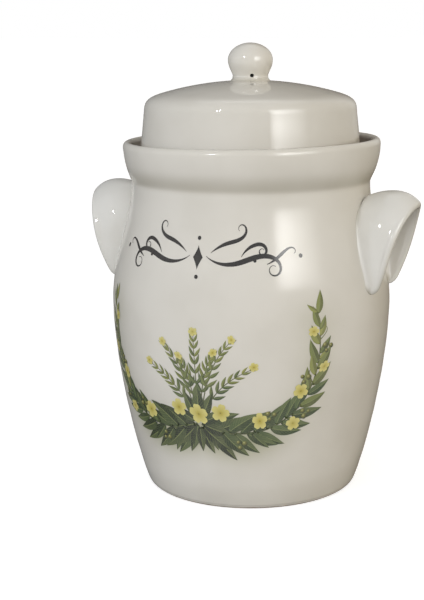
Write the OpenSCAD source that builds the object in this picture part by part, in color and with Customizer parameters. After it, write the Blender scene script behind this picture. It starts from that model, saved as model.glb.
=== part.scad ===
// Water-sealed fermentation crock: a glazed stoneware barrel with a water gutter round its mouth,
// a domed lid that stands in the gutter, hooded ear handles and two half-round weight stones inside.
// Units are millimetres, +Z is up, and the origin is the centre of the foot on the ground.
// The handles lie on +X and -X, and the front of the crock faces -Y.

/* [Crock body] */
// Diameter of the foot on the ground
foot_d = 146; // [130:1:162]
// Diameter of the belly at its widest
belly_d = 194; // [180:1:212]
// Height of the belly's widest ring
belly_h = 130; // [116:1:144]
// Height of the waist under the collar
waist_h = 212; // [196:1:232]
// How far the waist lies inside the collar
waist_in = 6.75; // [5.5:0.25:7.5]
// Height of the collar's widest ring above the waist
collar_up = 25; // [22:0.5:28]
// Rise of the collar's crest above its widest ring
crest_up = 4; // [3:0.5:6]
// Thickness of the wall
wall = 7.5; // [6:0.5:9]
// Thickness of the floor
floor_t = 10; // [8:0.5:13]
// Width of the ring that the crock stands on
foot_ring_w = 10; // [7:0.5:14]
// Depth of the hollow inside the foot ring
foot_hollow = 3; // [1:0.5:4]
// Radius of the curve between floor and wall inside
floor_round = 9; // [6:0.5:12]

/* [Water gutter] */
// Diameter of the mouth
mouth_d = 120; // [106:1:134]
// Thickness of the neck between mouth and gutter
neck_wall = 6; // [5:0.5:7]
// Height of the gutter's floor, where the lid stands, above the waist
gutter_up = 8; // [7:0.5:10]
// Height of the neck above the gutter's floor
neck_up = 23; // [18:0.5:28]
// Play between the neck and the lid's skirt
neck_play = 4; // [2:0.5:6]
// Width of the water channel between the foot of the lid's skirt and the collar
gutter_w = 7; // [6:0.5:9]
// Thickness of the collar at its crest
rim_t = 6; // [5:0.5:7]

/* [Lid] */
// Thickness of the lid
lid_wall = 6; // [5:0.5:7]
// How much the skirt narrows from the gutter up to the shoulder
skirt_taper = 3.5; // [2:0.5:5]
// Height of the skirt from the gutter's floor to the shoulder
skirt_h = 42; // [37:0.5:48]
// How far the dome's edge lies inside the shoulder
shoulder_in = 7; // [6:0.5:9]
// How far the dome's edge lies above the shoulder
shoulder_up = 8.5; // [7.5:0.5:10]
// Rise of the dome from its edge to its crown
dome_rise = 10; // [8:0.5:14]
// Radius of the gas notches in the skirt's lower edge
notch_r = 4.5; // [3:0.5:6]

/* [Knob] */
// Diameter of the knob's ball
knob_d = 30.5; // [27:0.5:34]
// Diameter of the knob's neck
knob_neck_d = 24; // [21:0.5:25]
// Diameter of the knob's foot on the lid
knob_foot_d = 26.5; // [25.5:0.5:30]
// Height of the knob above the lid
knob_h = 25; // [23:0.5:30]
// Thickness of the hollow knob
knob_wall = 4; // [3:0.5:5]
// Diameter of the vent in the knob's neck
vent_d = 2.6; // [2:0.2:3.4]
// Turn of the vent away from the crock's front
vent_turn = 27; // [0:1:359]

/* [Handles] */
// Width of a handle's arch
handle_w = 49; // [44:1:58]
// How far the handle's widest level lies below the waist
handle_drop = 53; // [44:1:60]
// Rise of the arch above its widest level
handle_rise = 44; // [34:0.5:48]
// Half sweep of the arch, from its crown to the end of a leg
handle_sweep = 113; // [105:1:134]
// How far the hood's crown stands out from the wall
hood_reach = 37; // [30:0.5:44]
// How far the ends of the legs stand out from the wall before their rounded edge
leg_reach = 1; // [0.5:0.5:5]
// Thickness of the hood
handle_wall = 6; // [5:0.5:8]

/* [Weight stones] */
// Thickness of a weight stone
stone_t = 18; // [14:1:24]
// Play between the stones and the curve round the floor
stone_play = 1; // [0.5:0.5:4]
// Gap between the two stones
stone_gap = 4; // [2:0.5:8]
// Rounding of the stones' edges
stone_round = 4; // [2:0.5:6]

/* [Hidden] */
$fn = 96;
// Colours of the cream glaze and of the bare stones
glaze = [0.85, 0.83, 0.79];
bare_clay = [0.74, 0.68, 0.58];
// Small overlap that keeps cuts clean
eps = 0.01;

// Steps along the long curves, the bends and the small roundings of the outlines
long_steps = 18;
bend_steps = 10;
round_steps = 6;

// Pulls of the outline's curves: how far each runs straight before it bends
foot_pull = [6.5, 10];
belly_pull_down = 48;
belly_pull_up = 32;
waist_pull_down = 25;
waist_pull_up = 4;
collar_pull = 15;
shoulder_pull = 14;
knob_foot_pull = 1.5;
knob_neck_pull = 2.5;
knob_ball_pull = 5;

// Heights of the knob's neck above the lid and of the vent above the neck
knob_neck_up = 3;
vent_up = 0.8;

// Rounding in the corners of the gutter
gutter_round = 2.5;
// Height that the curves inside the crock leave free where they join the wall
join_gap = 1;

// Radii of the turned parts: from the mouth outwards they follow from one another
mouth_r = mouth_d / 2;
neck_r = mouth_r + neck_wall;
skirt_in_r = neck_r + neck_play;
skirt_r = skirt_in_r + lid_wall;
collar_r = skirt_r + gutter_w + rim_t;
waist_r = collar_r - waist_in;
belly_r = belly_d / 2;
foot_r = foot_d / 2;
shoulder_r = skirt_r - skirt_taper;
dome_edge_r = shoulder_r - shoulder_in;

// Heights above the ground: from the waist upwards they follow from one another
collar_h = waist_h + collar_up;
gutter_h = waist_h + gutter_up;
neck_h = gutter_h + neck_up;
shoulder_h = gutter_h + skirt_h;
dome_edge_h = shoulder_h + shoulder_up;
lid_top_h = dome_edge_h + dome_rise;
handle_mid_h = waist_h - handle_drop;

// Radii of the knob
knob_r = knob_d / 2;
knob_neck_r = knob_neck_d / 2;
knob_foot_r = knob_foot_d / 2;

// Points of a cubic curve from a to d, pulled towards b and c
function curve(a, b, c, d, n) =
    [for (i = [0 : n])
        let (t = i / n, s = 1 - t)
        s * s * s * a + 3 * s * s * t * b + 3 * s * t * t * c + t * t * t * d];

// Points of an elliptic arc about c with half-axes rx and ry, from angle a0 to a1
function arc(c, rx, ry, a0, a1, n) =
    [for (i = [0 : n])
        let (a = a0 + (a1 - a0) * i / n)
        c + [rx * cos(a), ry * sin(a)]];

function tail(points) = [for (i = [1 : len(points) - 1]) points[i]];
function reversed(points) = [for (i = [len(points) - 1 : -1 : 0]) points[i]];
function unit(v) = v / norm(v);

// Left-hand normal of a path at point i, from its two neighbours
function left_normal(path, i) =
    let (a = path[max(i - 1, 0)], b = path[min(i + 1, len(path) - 1)], d = unit(b - a))
    [-d[1], d[0]];

// The path moved sideways by t, so that a wall keeps its thickness along a curve
function inset(path, t) = [for (i = [0 : len(path) - 1]) path[i] + t * left_normal(path, i)];

// Outer outline of the crock from the foot to the collar's widest ring
foot_to_belly = curve([foot_r, 0], [foot_r, 0] + foot_pull, [belly_r, belly_h - belly_pull_down],
                      [belly_r, belly_h], long_steps);
belly_to_waist = curve([belly_r, belly_h], [belly_r, belly_h + belly_pull_up],
                       [waist_r, waist_h - waist_pull_down], [waist_r, waist_h], long_steps);
waist_to_collar = curve([waist_r, waist_h], [waist_r, waist_h + waist_pull_up],
                        [collar_r, collar_h - collar_pull], [collar_r, collar_h], bend_steps);
barrel_side = concat(foot_to_belly, tail(belly_to_waist));
outer_side = concat(barrel_side, tail(waist_to_collar));

// Radius of the barrel's outside at height z
side_table = [for (p = outer_side) [p[1], p[0]]];
function side_r(z) = lookup(z, side_table);

// Collar crest, gutter and neck, from the collar's widest ring to the mouth
crest = arc([collar_r - rim_t / 2, collar_h], rim_t / 2, crest_up, 0, 180, bend_steps);
gutter_wall_r = side_r(gutter_h + gutter_round) - rim_t;
gutter_corner = arc([gutter_wall_r - gutter_round, gutter_h + gutter_round],
                    gutter_round, gutter_round, 0, -90, round_steps);
gutter_neck_corner = arc([neck_r + gutter_round, gutter_h + gutter_round],
                         gutter_round, gutter_round, 270, 180, round_steps);
neck_edge_h = neck_h - neck_wall / 2;
neck_edge = arc([neck_r - neck_wall / 2, neck_edge_h], neck_wall / 2, neck_wall / 2, 0, 180, bend_steps);

// Inside of the crock, from the mouth down to the floor
inner_wall = inset(barrel_side, wall);
ceiling_h = gutter_h - wall;
throat_foot_h = ceiling_h - 2 * wall;
throat_foot_r = side_r(throat_foot_h) - wall;
throat = curve([mouth_r, gutter_h], [mouth_r, ceiling_h - wall / 2], [throat_foot_r, ceiling_h],
               [throat_foot_r, throat_foot_h], bend_steps);
floor_wall_h = floor_t + floor_round;
inner_side = [for (p = reversed(inner_wall))
    if (p[1] < throat_foot_h - join_gap && p[1] > floor_wall_h + join_gap) p];
floor_wall_r = side_r(floor_wall_h) - wall;
floor_flat_r = floor_wall_r - floor_round;
stone_seat_r = floor_flat_r + floor_round / 3;
floor_corner = curve([floor_wall_r, floor_wall_h],
                     [floor_wall_r - floor_round / 6, floor_t + floor_round / 2],
                     [stone_seat_r, floor_t], [floor_flat_r, floor_t], round_steps);
foot_hollow_r = foot_r - foot_ring_w;

// Domed cap of a sphere: its centre, and the angle and height of the land under the knob
dome_r = (dome_edge_r * dome_edge_r + dome_rise * dome_rise) / (2 * dome_rise);
dome_centre = [0, lid_top_h - dome_r];
land_angle = asin(knob_foot_r / dome_r);
land_h = lid_top_h - dome_r * (1 - cos(land_angle));

// One face of the lid from the skirt's lower edge to the dome: it starts at radius r, the dome has
// radius cap_r and begins at radius edge_r, and its shoulder bends at height bend_h
function lid_face(r, bend_h, cap_r, edge_r, end_angle) =
    let (bend = [r - skirt_taper, bend_h],
         edge_angle = asin(edge_r / cap_r),
         edge = dome_centre + cap_r * [sin(edge_angle), cos(edge_angle)],
         edge_pull = (bend[0] - edge_r) / 2)
    concat(
        curve([r, gutter_h], [r, gutter_h + shoulder_pull],
              bend + [skirt_taper / 3, -shoulder_pull], bend, bend_steps),
        tail(curve(bend, bend + [-skirt_taper / 6, (edge[1] - bend_h) / 2],
                   edge + edge_pull * [1, -tan(edge_angle)], edge, round_steps)),
        tail(arc(dome_centre, cap_r, cap_r, 90 - edge_angle, 90 - end_angle, long_steps)));
lid_outside = concat(lid_face(skirt_r, shoulder_h, dome_r, dome_edge_r, land_angle), [[0, land_h]]);
lid_inside = lid_face(skirt_in_r, shoulder_h - lid_wall / 2, dome_r - lid_wall, dome_edge_r - lid_wall, 0);

// Outlines of the knob: its foot on the land, and its neck and ball at depth t inside the surface
knob_top_h = land_h + knob_h;
ball_top = knob_h / 2;
ball_h = knob_top_h - ball_top;
knob_neck_h = land_h + knob_neck_up;
function knob_ball(t) = concat(
    curve([knob_neck_r - t, knob_neck_h], [knob_neck_r - t, knob_neck_h + knob_neck_pull],
          [knob_r - t, ball_h - knob_ball_pull], [knob_r - t, ball_h], bend_steps),
    tail(arc([0, ball_h], knob_r - t, ball_top - t, 0, 90, bend_steps)));
knob_foot = curve([knob_foot_r, land_h], [knob_foot_r - knob_foot_pull / 2, land_h + knob_foot_pull / 3],
                  [knob_neck_r, knob_neck_h - knob_foot_pull], [knob_neck_r, knob_neck_h], round_steps);
vent_h = knob_neck_h + vent_up;

// Outer shape of the crock as one filled solid, which trims the handles to the wall
module crock_core() {
    rotate_extrude()
        polygon(concat([[0, 0]], outer_side, [[0, collar_h]]));
}

module crock_body() {
    color(glaze)
        rotate_extrude()
            polygon(concat(
                [[0, foot_hollow], [foot_hollow_r - foot_hollow, foot_hollow], [foot_hollow_r, 0]],
                outer_side, tail(crest), gutter_corner, gutter_neck_corner, neck_edge,
                throat, inner_side, floor_corner, [[0, floor_t]]));
}

module lid_shell() {
    color(glaze)
        difference() {
            rotate_extrude()
                polygon(concat(lid_outside, reversed(lid_inside)));
            translate([0, 0, gutter_h])
                rotate([90, 0, 0])
                    cylinder(r = notch_r, h = 3 * skirt_r, center = true);
        }
}

module lid_knob() {
    color(glaze)
        difference() {
            rotate_extrude()
                polygon(concat(
                    knob_foot, tail(knob_ball(0)), reversed(knob_ball(knob_wall)),
                    [[knob_neck_r - knob_wall, land_h]]));
            rotate([0, 0, vent_turn])
                translate([0, 0, vent_h])
                    rotate([90, 0, 0])
                        cylinder(d = vent_d, h = knob_r);
        }
}

// Handle arch: where the hood's outside meets the wall at angle a from the crown, as [y, z]
function arch_point(a) = [handle_w / 2 * sin(a), handle_mid_h + handle_rise * cos(a)];
function arch_normal(a) = unit([sin(a) / (handle_w / 2), cos(a) / handle_rise]);
function wall_x(p) = sqrt(pow(side_r(p[1]), 2) - p[0] * p[0]);

// How far the hood stands out at angle a before its rounded edge: most at the crown, least at the ends
// of the legs
hood_fade = 1.12;
function hood_length(a) =
    let (q = (1 - cos(a)) / (1 - cos(handle_sweep)))
    leg_reach + (hood_reach - handle_wall / 2 - leg_reach) * (1 - pow(q, hood_fade));

// At its crown the hood swells up from the wall and then turns down to its lip, and its sides flare out
// at the lip. These are shares of its length, with the powers that set how early or late that happens.
hood_swell = 0.28;
hood_swell_power = 0.5;
hood_turn_in = 0.36;
hood_turn_power = 4.3;
side_flare = 0.55;
side_flare_power = 4.3;
function hood_bulge(a, u) =
    let (crown = max(0, cos(a)))
    crown * (hood_swell * pow(u, hood_swell_power) - hood_turn_in * pow(u, hood_turn_power))
    + (1 - crown) * side_flare * pow(u, side_flare_power);

// Section of the hood at angle a as a loop of [out from the wall, outwards from the arch].
// The ends of the legs are rounded off over the last degrees of the sweep, down to a small last share.
leg_round_sweep = 9;
leg_end_share = 0.15;
hood_steps = 9;
lip_steps = 6;
root_sink = 4;
// Steps out along the hood start just inside the wall and are shorter there, where it swells most
root_start = 0.4;
hood_step_power = 1.5;
function hood_out(lip, i) =
    i == 0 ? -root_sink
    : (lip + root_start) * pow((i - 1) / (hood_steps - 1), hood_step_power) - root_start;
function hood_section(a) =
    let (v = max(0, abs(a) - handle_sweep + leg_round_sweep) / leg_round_sweep,
         shrink = max(leg_end_share, sqrt(1 - v * v)),
         half = handle_wall / 2 * shrink,
         lip = hood_length(a) * shrink,
         reach = lip + half)
    concat(
        [for (i = [0 : hood_steps])
            let (d = hood_out(lip, i), u = max(0, d) / reach)
            [d, reach * hood_bulge(a, u) - handle_wall / 2 + half]],
        [for (i = [1 : lip_steps - 1])
            let (b = 90 - 180 * i / lip_steps, u = lip / reach)
            [lip + half * cos(b), reach * hood_bulge(a, u) - handle_wall / 2 + half * sin(b)]],
        [for (i = [hood_steps : -1 : 0])
            let (d = hood_out(lip, i), u = max(0, d) / reach)
            [d, reach * hood_bulge(a, u) - handle_wall / 2 - half]]);

arch_steps = 36;
arch_angles = [for (i = [0 : arch_steps]) handle_sweep * (2 * i / arch_steps - 1)];

// Hood of the handle on +X, still running into the wall at its root
module hood() {
    loop_size = 2 * (hood_steps + 1) + lip_steps - 1;
    points = [for (a = arch_angles)
        let (base = arch_point(a), n = arch_normal(a), x0 = wall_x(base))
        for (s = hood_section(a))
            [x0 + s[0], base[0] + n[0] * s[1], base[1] + n[1] * s[1]]];
    sides = [for (k = [0 : arch_steps - 1])
        for (j = [0 : loop_size - 1])
            let (a = k * loop_size + j,
                 b = k * loop_size + (j + 1) % loop_size,
                 c = b + loop_size,
                 d = a + loop_size)
            each [[a, d, b], [b, d, c]]];
    first_end = [for (j = [0 : loop_size - 1]) j];
    last_end = [for (j = [loop_size - 1 : -1 : 0]) arch_steps * loop_size + j];
    polyhedron(points = points, faces = concat(sides, [first_end, last_end]), convexity = 6);
}

module right_handle() {
    color(glaze)
        difference() {
            hood();
            crock_core();
        }
}

module left_handle() {
    mirror([1, 0, 0])
        right_handle();
}

// Half-round stone on the side given by its sign along X
stone_r = stone_seat_r - stone_play;
function stone_edge(h, a0, a1) =
    arc([stone_r - stone_round, h], stone_round, stone_round, a0, a1, round_steps);
module weight_stone(side) {
    bottom = floor_t;
    top = floor_t + stone_t;
    color(bare_clay)
        intersection() {
            rotate_extrude()
                polygon(concat(
                    [[0, bottom]],
                    stone_edge(bottom + stone_round, -90, 0),
                    stone_edge(top - stone_round, 0, 90),
                    [[0, top]]));
            translate([side > 0 ? stone_gap / 2 : -stone_gap / 2 - stone_r, -stone_r, bottom - eps])
                cube([stone_r, 2 * stone_r, stone_t + 2 * eps]);
        }
}

module weight_stone_left() {
    weight_stone(-1);
}

module weight_stone_right() {
    weight_stone(1);
}

crock_body();
left_handle();
right_handle();
lid_shell();
lid_knob();
weight_stone_left();
weight_stone_right();
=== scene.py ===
"""Looks of a water-seal fermentation crock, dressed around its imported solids.

The classes hold their sizes in millimetres, as the part's source does, and meshes are made in metres.
Angles round the axis start at the decorated front (-Y) and grow towards the right-hand handle (+X).
"""
import logging
import math
from dataclasses import dataclass, field
from enum import Enum
from typing import Callable, Optional, Sequence

import bmesh
import bpy
import numpy as np
from mathutils import Matrix


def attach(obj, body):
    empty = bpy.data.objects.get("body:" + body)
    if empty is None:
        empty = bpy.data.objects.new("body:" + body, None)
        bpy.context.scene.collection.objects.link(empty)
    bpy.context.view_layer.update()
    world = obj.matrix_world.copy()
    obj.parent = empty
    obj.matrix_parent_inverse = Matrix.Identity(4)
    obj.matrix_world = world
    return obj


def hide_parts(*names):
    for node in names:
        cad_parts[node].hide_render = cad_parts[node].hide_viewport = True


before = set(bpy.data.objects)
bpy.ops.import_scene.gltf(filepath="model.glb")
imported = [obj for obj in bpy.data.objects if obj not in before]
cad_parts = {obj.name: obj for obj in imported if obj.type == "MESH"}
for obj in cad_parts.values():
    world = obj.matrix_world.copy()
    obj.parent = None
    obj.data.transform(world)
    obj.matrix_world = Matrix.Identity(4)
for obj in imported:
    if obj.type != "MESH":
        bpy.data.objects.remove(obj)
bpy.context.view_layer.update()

Array = np.ndarray
Colour = tuple[float, float, float]
Point = Sequence[float]
LOG = logging.getLogger("crock")
MM = 0.001
SEED = 11
GLAZE_IOR = 1.52
WHITE = (1.0, 1.0, 1.0)
BLACK = (0.0, 0.0, 0.0)
MIRRORED = (1.0, -1.0)
TINY = 1e-6


class Side(Enum):
    """Side of the crock, as the sign of X."""

    LEFT = -1
    RIGHT = 1


class Body(Enum):
    """Moving body that a piece rides on."""

    CROCK = "crock"
    LID = "lid"
    STONE_LEFT = "stone_left"
    STONE_RIGHT = "stone_right"


class Slot(Enum):
    """Material slot of the record."""

    GLAZE = "glaze"
    CLAY = "bare_clay"


def srgb(red: float, green: float, blue: float) -> Colour:
    """Turn a display colour into a linear one.

    Args:
        red: Red from 0 to 255.
        green: Green from 0 to 255.
        blue: Blue from 0 to 255.

    Returns:
        The linear colour: each share c becomes ((c + 0.055) / 1.055) to the power 2.4.
    """
    share = np.array([red, green, blue]) / 255.0
    linear = np.where(share <= 0.04045, share / 12.92, ((share + 0.055) / 1.055) ** 2.4)
    return float(linear[0]), float(linear[1]), float(linear[2])


def grey(level: float) -> Colour:
    """Neutral linear colour."""
    return level, level, level


def smoothstep(x: Array, low: float, high: float) -> Array:
    """Rise smoothly from 0 at low to 1 at high.

    Args:
        x: Values.
        low: Value where the rise starts.
        high: Value where it ends.

    Returns:
        3 t squared minus 2 t cubed, with t the share of the way from low to high.
    """
    t = np.clip((x - low) / (high - low), 0.0, 1.0)
    return t * t * (3.0 - 2.0 * t)


def cubic(t: Array, a: Array, b: Array, c: Array, d: Array) -> Array:
    """With s = 1 - t: s cubed a plus 3 s squared t b plus 3 s t squared c plus t cubed d."""
    s = 1.0 - t
    return s ** 3 * a + 3 * s * s * t * b + 3 * s * t * t * c + t ** 3 * d


def curved(a: Point, b: Point, c: Point, d: Point, steps: int) -> Array:
    """Points of a cubic curve.

    Args:
        a: Start.
        b: First pull.
        c: Second pull.
        d: End.
        steps: Number of steps.

    Returns:
        The curve's points in equal steps of its parameter.
    """
    return cubic(np.linspace(0.0, 1.0, steps + 1)[:, None], *(np.array(p) for p in (a, b, c, d)))


def arc(centre: Point, rx: float, ry: float, start: float, stop: float, steps: int) -> Array:
    """Points of an elliptic arc.

    Args:
        centre: Centre of the ellipse.
        rx: Half-axis along the first coordinate.
        ry: Half-axis along the second coordinate.
        start: First angle in degrees.
        stop: Last angle in degrees.
        steps: Number of steps.

    Returns:
        The centre plus (rx cos a, ry sin a).
    """
    a = np.radians(np.linspace(start, stop, steps + 1))
    return np.array(centre) + np.column_stack([rx * np.cos(a), ry * np.sin(a)])


def line(a: Point, b: Point, steps: int) -> Array:
    """Points of a straight stretch from a to b in equal steps."""
    return np.linspace(np.array(a, float), np.array(b, float), steps + 1)


def chain(*paths: Array) -> Array:
    """Join paths end to end.

    Args:
        paths: Points of each path.

    Returns:
        All points in order, without doubled ones.
    """
    points = np.vstack(paths)
    gap = np.linalg.norm(np.diff(points, axis=0), axis=1)
    return points[np.r_[True, gap > 1e-5]]


def run_of(path: Array) -> Array:
    """Distance along a path to each of its points."""
    return np.r_[0.0, np.cumsum(np.linalg.norm(np.diff(path, axis=0), axis=1))]


def tangents(path: Array) -> Array:
    """Unit directions along a path, from the neighbours of each point."""
    d = np.gradient(path, axis=0)
    return d / np.maximum(np.linalg.norm(d, axis=1, keepdims=True), 1e-9)


def left_of(direction: Array) -> Array:
    """Directions turned a quarter to the left."""
    return np.stack([-direction[..., 1], direction[..., 0]], -1)


def spun(way: Array, turn: Array) -> Array:
    """Directions turned to the left by an angle each."""
    c, s = np.cos(turn), np.sin(turn)
    return np.stack([way[:, 0] * c - way[:, 1] * s, way[:, 0] * s + way[:, 1] * c], -1)


def bend_of(path: Array, spread: int = 2) -> Array:
    """Curvature of an outline, positive where it bulges outwards.

    Args:
        path: Points, with the solid on the left.
        spread: Half-width in points of the smoothing.

    Returns:
        The turning angle per millimetre at each point, smoothed over its neighbours.
    """
    d = tangents(path)
    heading = np.unwrap(np.arctan2(d[:, 1], d[:, 0]))
    bend = np.gradient(heading, run_of(path))
    kernel = np.hanning(2 * spread + 3)[1:-1]
    padded = np.pad(bend, spread, mode="edge")
    return np.convolve(padded, kernel / kernel.sum(), mode="valid")


def index_quads(index: Array) -> Array:
    """Quads between the neighbours in a grid of point numbers."""
    corners = [index[:-1, :-1], index[:-1, 1:], index[1:, 1:], index[1:, :-1]]
    return np.stack(corners, -1).reshape(-1, 4)


def grid_quads(rows: int, cols: int, wrap: bool = False, count: int = 1) -> Array:
    """Quads of equal grids of points, each stored row by row.

    Args:
        rows: Number of rows.
        cols: Number of columns.
        wrap: Join the last column to the first.
        count: Number of grids.

    Returns:
        Corner numbers, four to a quad.
    """
    index = np.arange(rows * cols).reshape(rows, cols)
    one = index_quads(np.column_stack([index, index[:, :1]]) if wrap else index)
    return (one[None] + (np.arange(count) * rows * cols)[:, None, None]).reshape(-1, 4)


def pole_tris(rows: int, cols: int) -> Array:
    """Close a grid that wraps round with a fan at each end.

    Args:
        rows: Number of rows.
        cols: Number of columns.

    Returns:
        Triangles from the first and the last row to two poles, which are stored after the grid.
    """
    first = np.arange(cols)
    last = first + (rows - 1) * cols
    return np.vstack([np.column_stack([np.full(cols, rows * cols), np.roll(first, -1), first]),
                      np.column_stack([np.full(cols, rows * cols + 1), last, np.roll(last, -1)])])


@dataclass
class Surface:
    """Points in millimetres with their faces, values per point and places on a pattern."""

    points: Array
    quads: Array
    tris: Array = field(default_factory=lambda: np.zeros((0, 3), int))
    values: dict[str, Array] = field(default_factory=dict)
    uv: Optional[Array] = None

    def flipped(self) -> "Surface":
        """The same surface with its faces turned round."""
        return Surface(self.points, self.quads[:, ::-1], self.tris[:, ::-1], self.values, self.uv)

    def outward(self) -> "Surface":
        """Turn each quad of a sheet away from the axis.

        Returns:
            The same sheet, with those quads reversed whose normal points towards the axis.
        """
        a, b, c = (self.points[self.quads[:, k]] for k in (0, 1, 3))
        normal = np.cross(b - a, c - a)
        inside = (normal[:, :2] * a[:, :2]).sum(1) < 0
        quads = np.where(inside[:, None], self.quads[:, ::-1], self.quads)
        return Surface(self.points, quads, self.tris, self.values, self.uv)

    @staticmethod
    def joined(parts: Sequence["Surface"]) -> "Surface":
        """Join surfaces that carry the same values.

        Args:
            parts: Surfaces to join.

        Returns:
            One surface with all points and faces.
        """
        start = np.cumsum([0] + [len(p.points) for p in parts])
        names = parts[0].values.keys()
        return Surface(
            np.vstack([p.points for p in parts]),
            np.vstack([p.quads + s for p, s in zip(parts, start)]),
            np.vstack([p.tris + s for p, s in zip(parts, start)]),
            {n: np.concatenate([p.values[n] for p in parts]) for n in names},
            None if parts[0].uv is None else np.vstack([p.uv for p in parts]))

    def to_object(self, name: str, material: bpy.types.Material, weld: bool = False) -> bpy.types.Object:
        """Make a smooth mesh object at the origin.

        Args:
            name: Name of the piece.
            material: Its material.
            weld: Merge points that coincide and make the normals agree.

        Returns:
            The object, linked to the scene.
        """
        mesh = bpy.data.meshes.new(name)
        mesh.from_pydata((self.points * MM).tolist(), [], self.quads.tolist() + self.tris.tolist())
        for label, value in self.values.items():
            layer = mesh.attributes.new(label, "FLOAT", "POINT")
            layer.data.foreach_set("value", np.ascontiguousarray(value, np.float32))
        if self.uv is not None:
            corner = np.empty(len(mesh.loops), np.int32)
            mesh.loops.foreach_get("vertex_index", corner)
            spots = self.uv[corner].astype(np.float32)
            mesh.uv_layers.new(name="UVMap").data.foreach_set("uv", spots.ravel())
        if weld:
            work = bmesh.new()
            work.from_mesh(mesh)
            bmesh.ops.remove_doubles(work, verts=work.verts, dist=2e-6)
            bmesh.ops.dissolve_degenerate(work, edges=work.edges, dist=1e-7)
            bmesh.ops.recalc_face_normals(work, faces=work.faces)
            work.to_mesh(mesh)
            work.free()
        mesh.polygons.foreach_set("use_smooth", np.ones(len(mesh.polygons), bool))
        mesh.materials.append(material)
        mesh.validate()
        mesh.update()
        piece = bpy.data.objects.new(name, mesh)
        bpy.context.scene.collection.objects.link(piece)
        return piece


def turned(outline: Array, angles: Array, swell: Array | float = 0.0,
           lift: Array | float = 0.0) -> Surface:
    """Carry an outline round the axis.

    Args:
        outline: Radius and height of each point, with both ends on the axis.
        angles: Angles of the columns, once round.
        swell: Added to the radius of each inner point and column.
        lift: Added to the height of each inner point and column.

    Returns:
        The surface x = r sin a, y = -r cos a, z = h, with one point at each pole.
    """
    r = outline[1:-1, :1] + swell
    z = outline[1:-1, 1:] + lift
    grid = np.stack(np.broadcast_arrays(r * np.sin(angles), -r * np.cos(angles), z), -1)
    rows, cols = grid.shape[:2]
    poles = np.array([[0.0, 0.0, outline[0, 1]], [0.0, 0.0, outline[-1, 1]]])
    return Surface(np.vstack([grid.reshape(-1, 3), poles]), grid_quads(rows, cols, wrap=True),
                   pole_tris(rows, cols))


def spread_round(value: Array, cols: int) -> Array:
    """Give each point of a turned surface the value of its outline's point, poles last."""
    return np.r_[np.repeat(value[1:-1], cols), value[0], value[-1]]


class Sheet:
    """A node tree with short ways to place and link nodes."""

    def __init__(self, tree: bpy.types.NodeTree) -> None:
        """Take an emptied node tree."""
        self.tree = tree
        tree.nodes.clear()

    def add(self, kind: str, inputs: Optional[dict] = None, **settings: object) -> bpy.types.Node:
        """Place a node.

        Args:
            kind: Type name of the node.
            inputs: Values or sockets for its inputs, by name or number.
            settings: Properties of the node.

        Returns:
            The node.
        """
        node = self.tree.nodes.new(kind)
        for name, value in settings.items():
            setattr(node, name, value)
        for name, value in (inputs or {}).items():
            self.feed(node.inputs[name], value)
        return node

    def feed(self, socket: bpy.types.NodeSocket, value: object) -> None:
        """Link a socket into an input, or set the input to a value.

        Args:
            socket: The input.
            value: Socket, number, vector or colour.
        """
        if isinstance(value, bpy.types.NodeSocket):
            self.tree.links.new(value, socket)
        elif isinstance(value, tuple) and len(value) == 3 and socket.type == "RGBA":
            socket.default_value = (*value, 1.0)
        else:
            socket.default_value = value

    def math(self, operation: str, *values: object) -> bpy.types.NodeSocket:
        """Result of a math node on one to three values."""
        return self.add("ShaderNodeMath", dict(enumerate(values)), operation=operation).outputs[0]

    def rise(self, value: object, low: float, high: float) -> bpy.types.NodeSocket:
        """Smooth step of a value from 0 at low to 1 at high."""
        node = self.add("ShaderNodeMapRange", {0: value, 1: low, 2: high}, interpolation_type="SMOOTHSTEP")
        return node.outputs[0]

    def mix(self, share: object, a: object, b: object, blend: str = "MIX") -> bpy.types.NodeSocket:
        """Mix of two colours by a share."""
        node = self.add("ShaderNodeMix", {0: share, 6: a, 7: b}, data_type="RGBA", blend_type=blend)
        return node.outputs[2]

    def noise(self, where: object, scale: float, detail: float = 2.0) -> bpy.types.NodeSocket:
        """Value of a noise texture at a place."""
        node = self.add("ShaderNodeTexNoise", {"Vector": where, "Scale": scale, "Detail": detail})
        return node.outputs["Fac"]

    def value(self, label: str) -> bpy.types.NodeSocket:
        """Value of a mesh attribute."""
        return self.add("ShaderNodeAttribute", attribute_name=label).outputs["Fac"]

    def span(self, value: object, low: float, high: float, start: float, stop: float) -> bpy.types.NodeSocket:
        """Value carried evenly from low and high to start and stop."""
        return self.add("ShaderNodeMapRange", {0: value, 1: low, 2: high, 3: start, 4: stop}).outputs[0]

    def split(self, vector: object) -> tuple[bpy.types.NodeSocket, ...]:
        """The three coordinates of a vector."""
        return tuple(self.add("ShaderNodeSeparateXYZ", {0: vector}).outputs)

    def sees_background(self) -> bpy.types.NodeSocket:
        """Tell the rays that see a white background.

        Returns:
            1 on camera, glossy and transmitted rays, otherwise 0.
        """
        path = self.add("ShaderNodeLightPath").outputs
        bounced = self.math("MAXIMUM", path["Is Glossy Ray"], path["Is Transmission Ray"])
        return self.math("MAXIMUM", path["Is Camera Ray"], bounced)

    def ramp(self, share: object, stops: Sequence[tuple[float, Colour]]) -> bpy.types.NodeSocket:
        """Colour of a ramp.

        Args:
            share: Place on the ramp.
            stops: Places and colours in order.

        Returns:
            The colour socket.
        """
        node = self.add("ShaderNodeValToRGB", {0: share})
        marks = node.color_ramp.elements
        while len(marks) < len(stops):
            marks.new(1.0)
        for mark, (place, colour) in zip(marks, stops):
            mark.position = place
            mark.color = (*colour, 1.0)
        return node.outputs["Color"]


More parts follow.
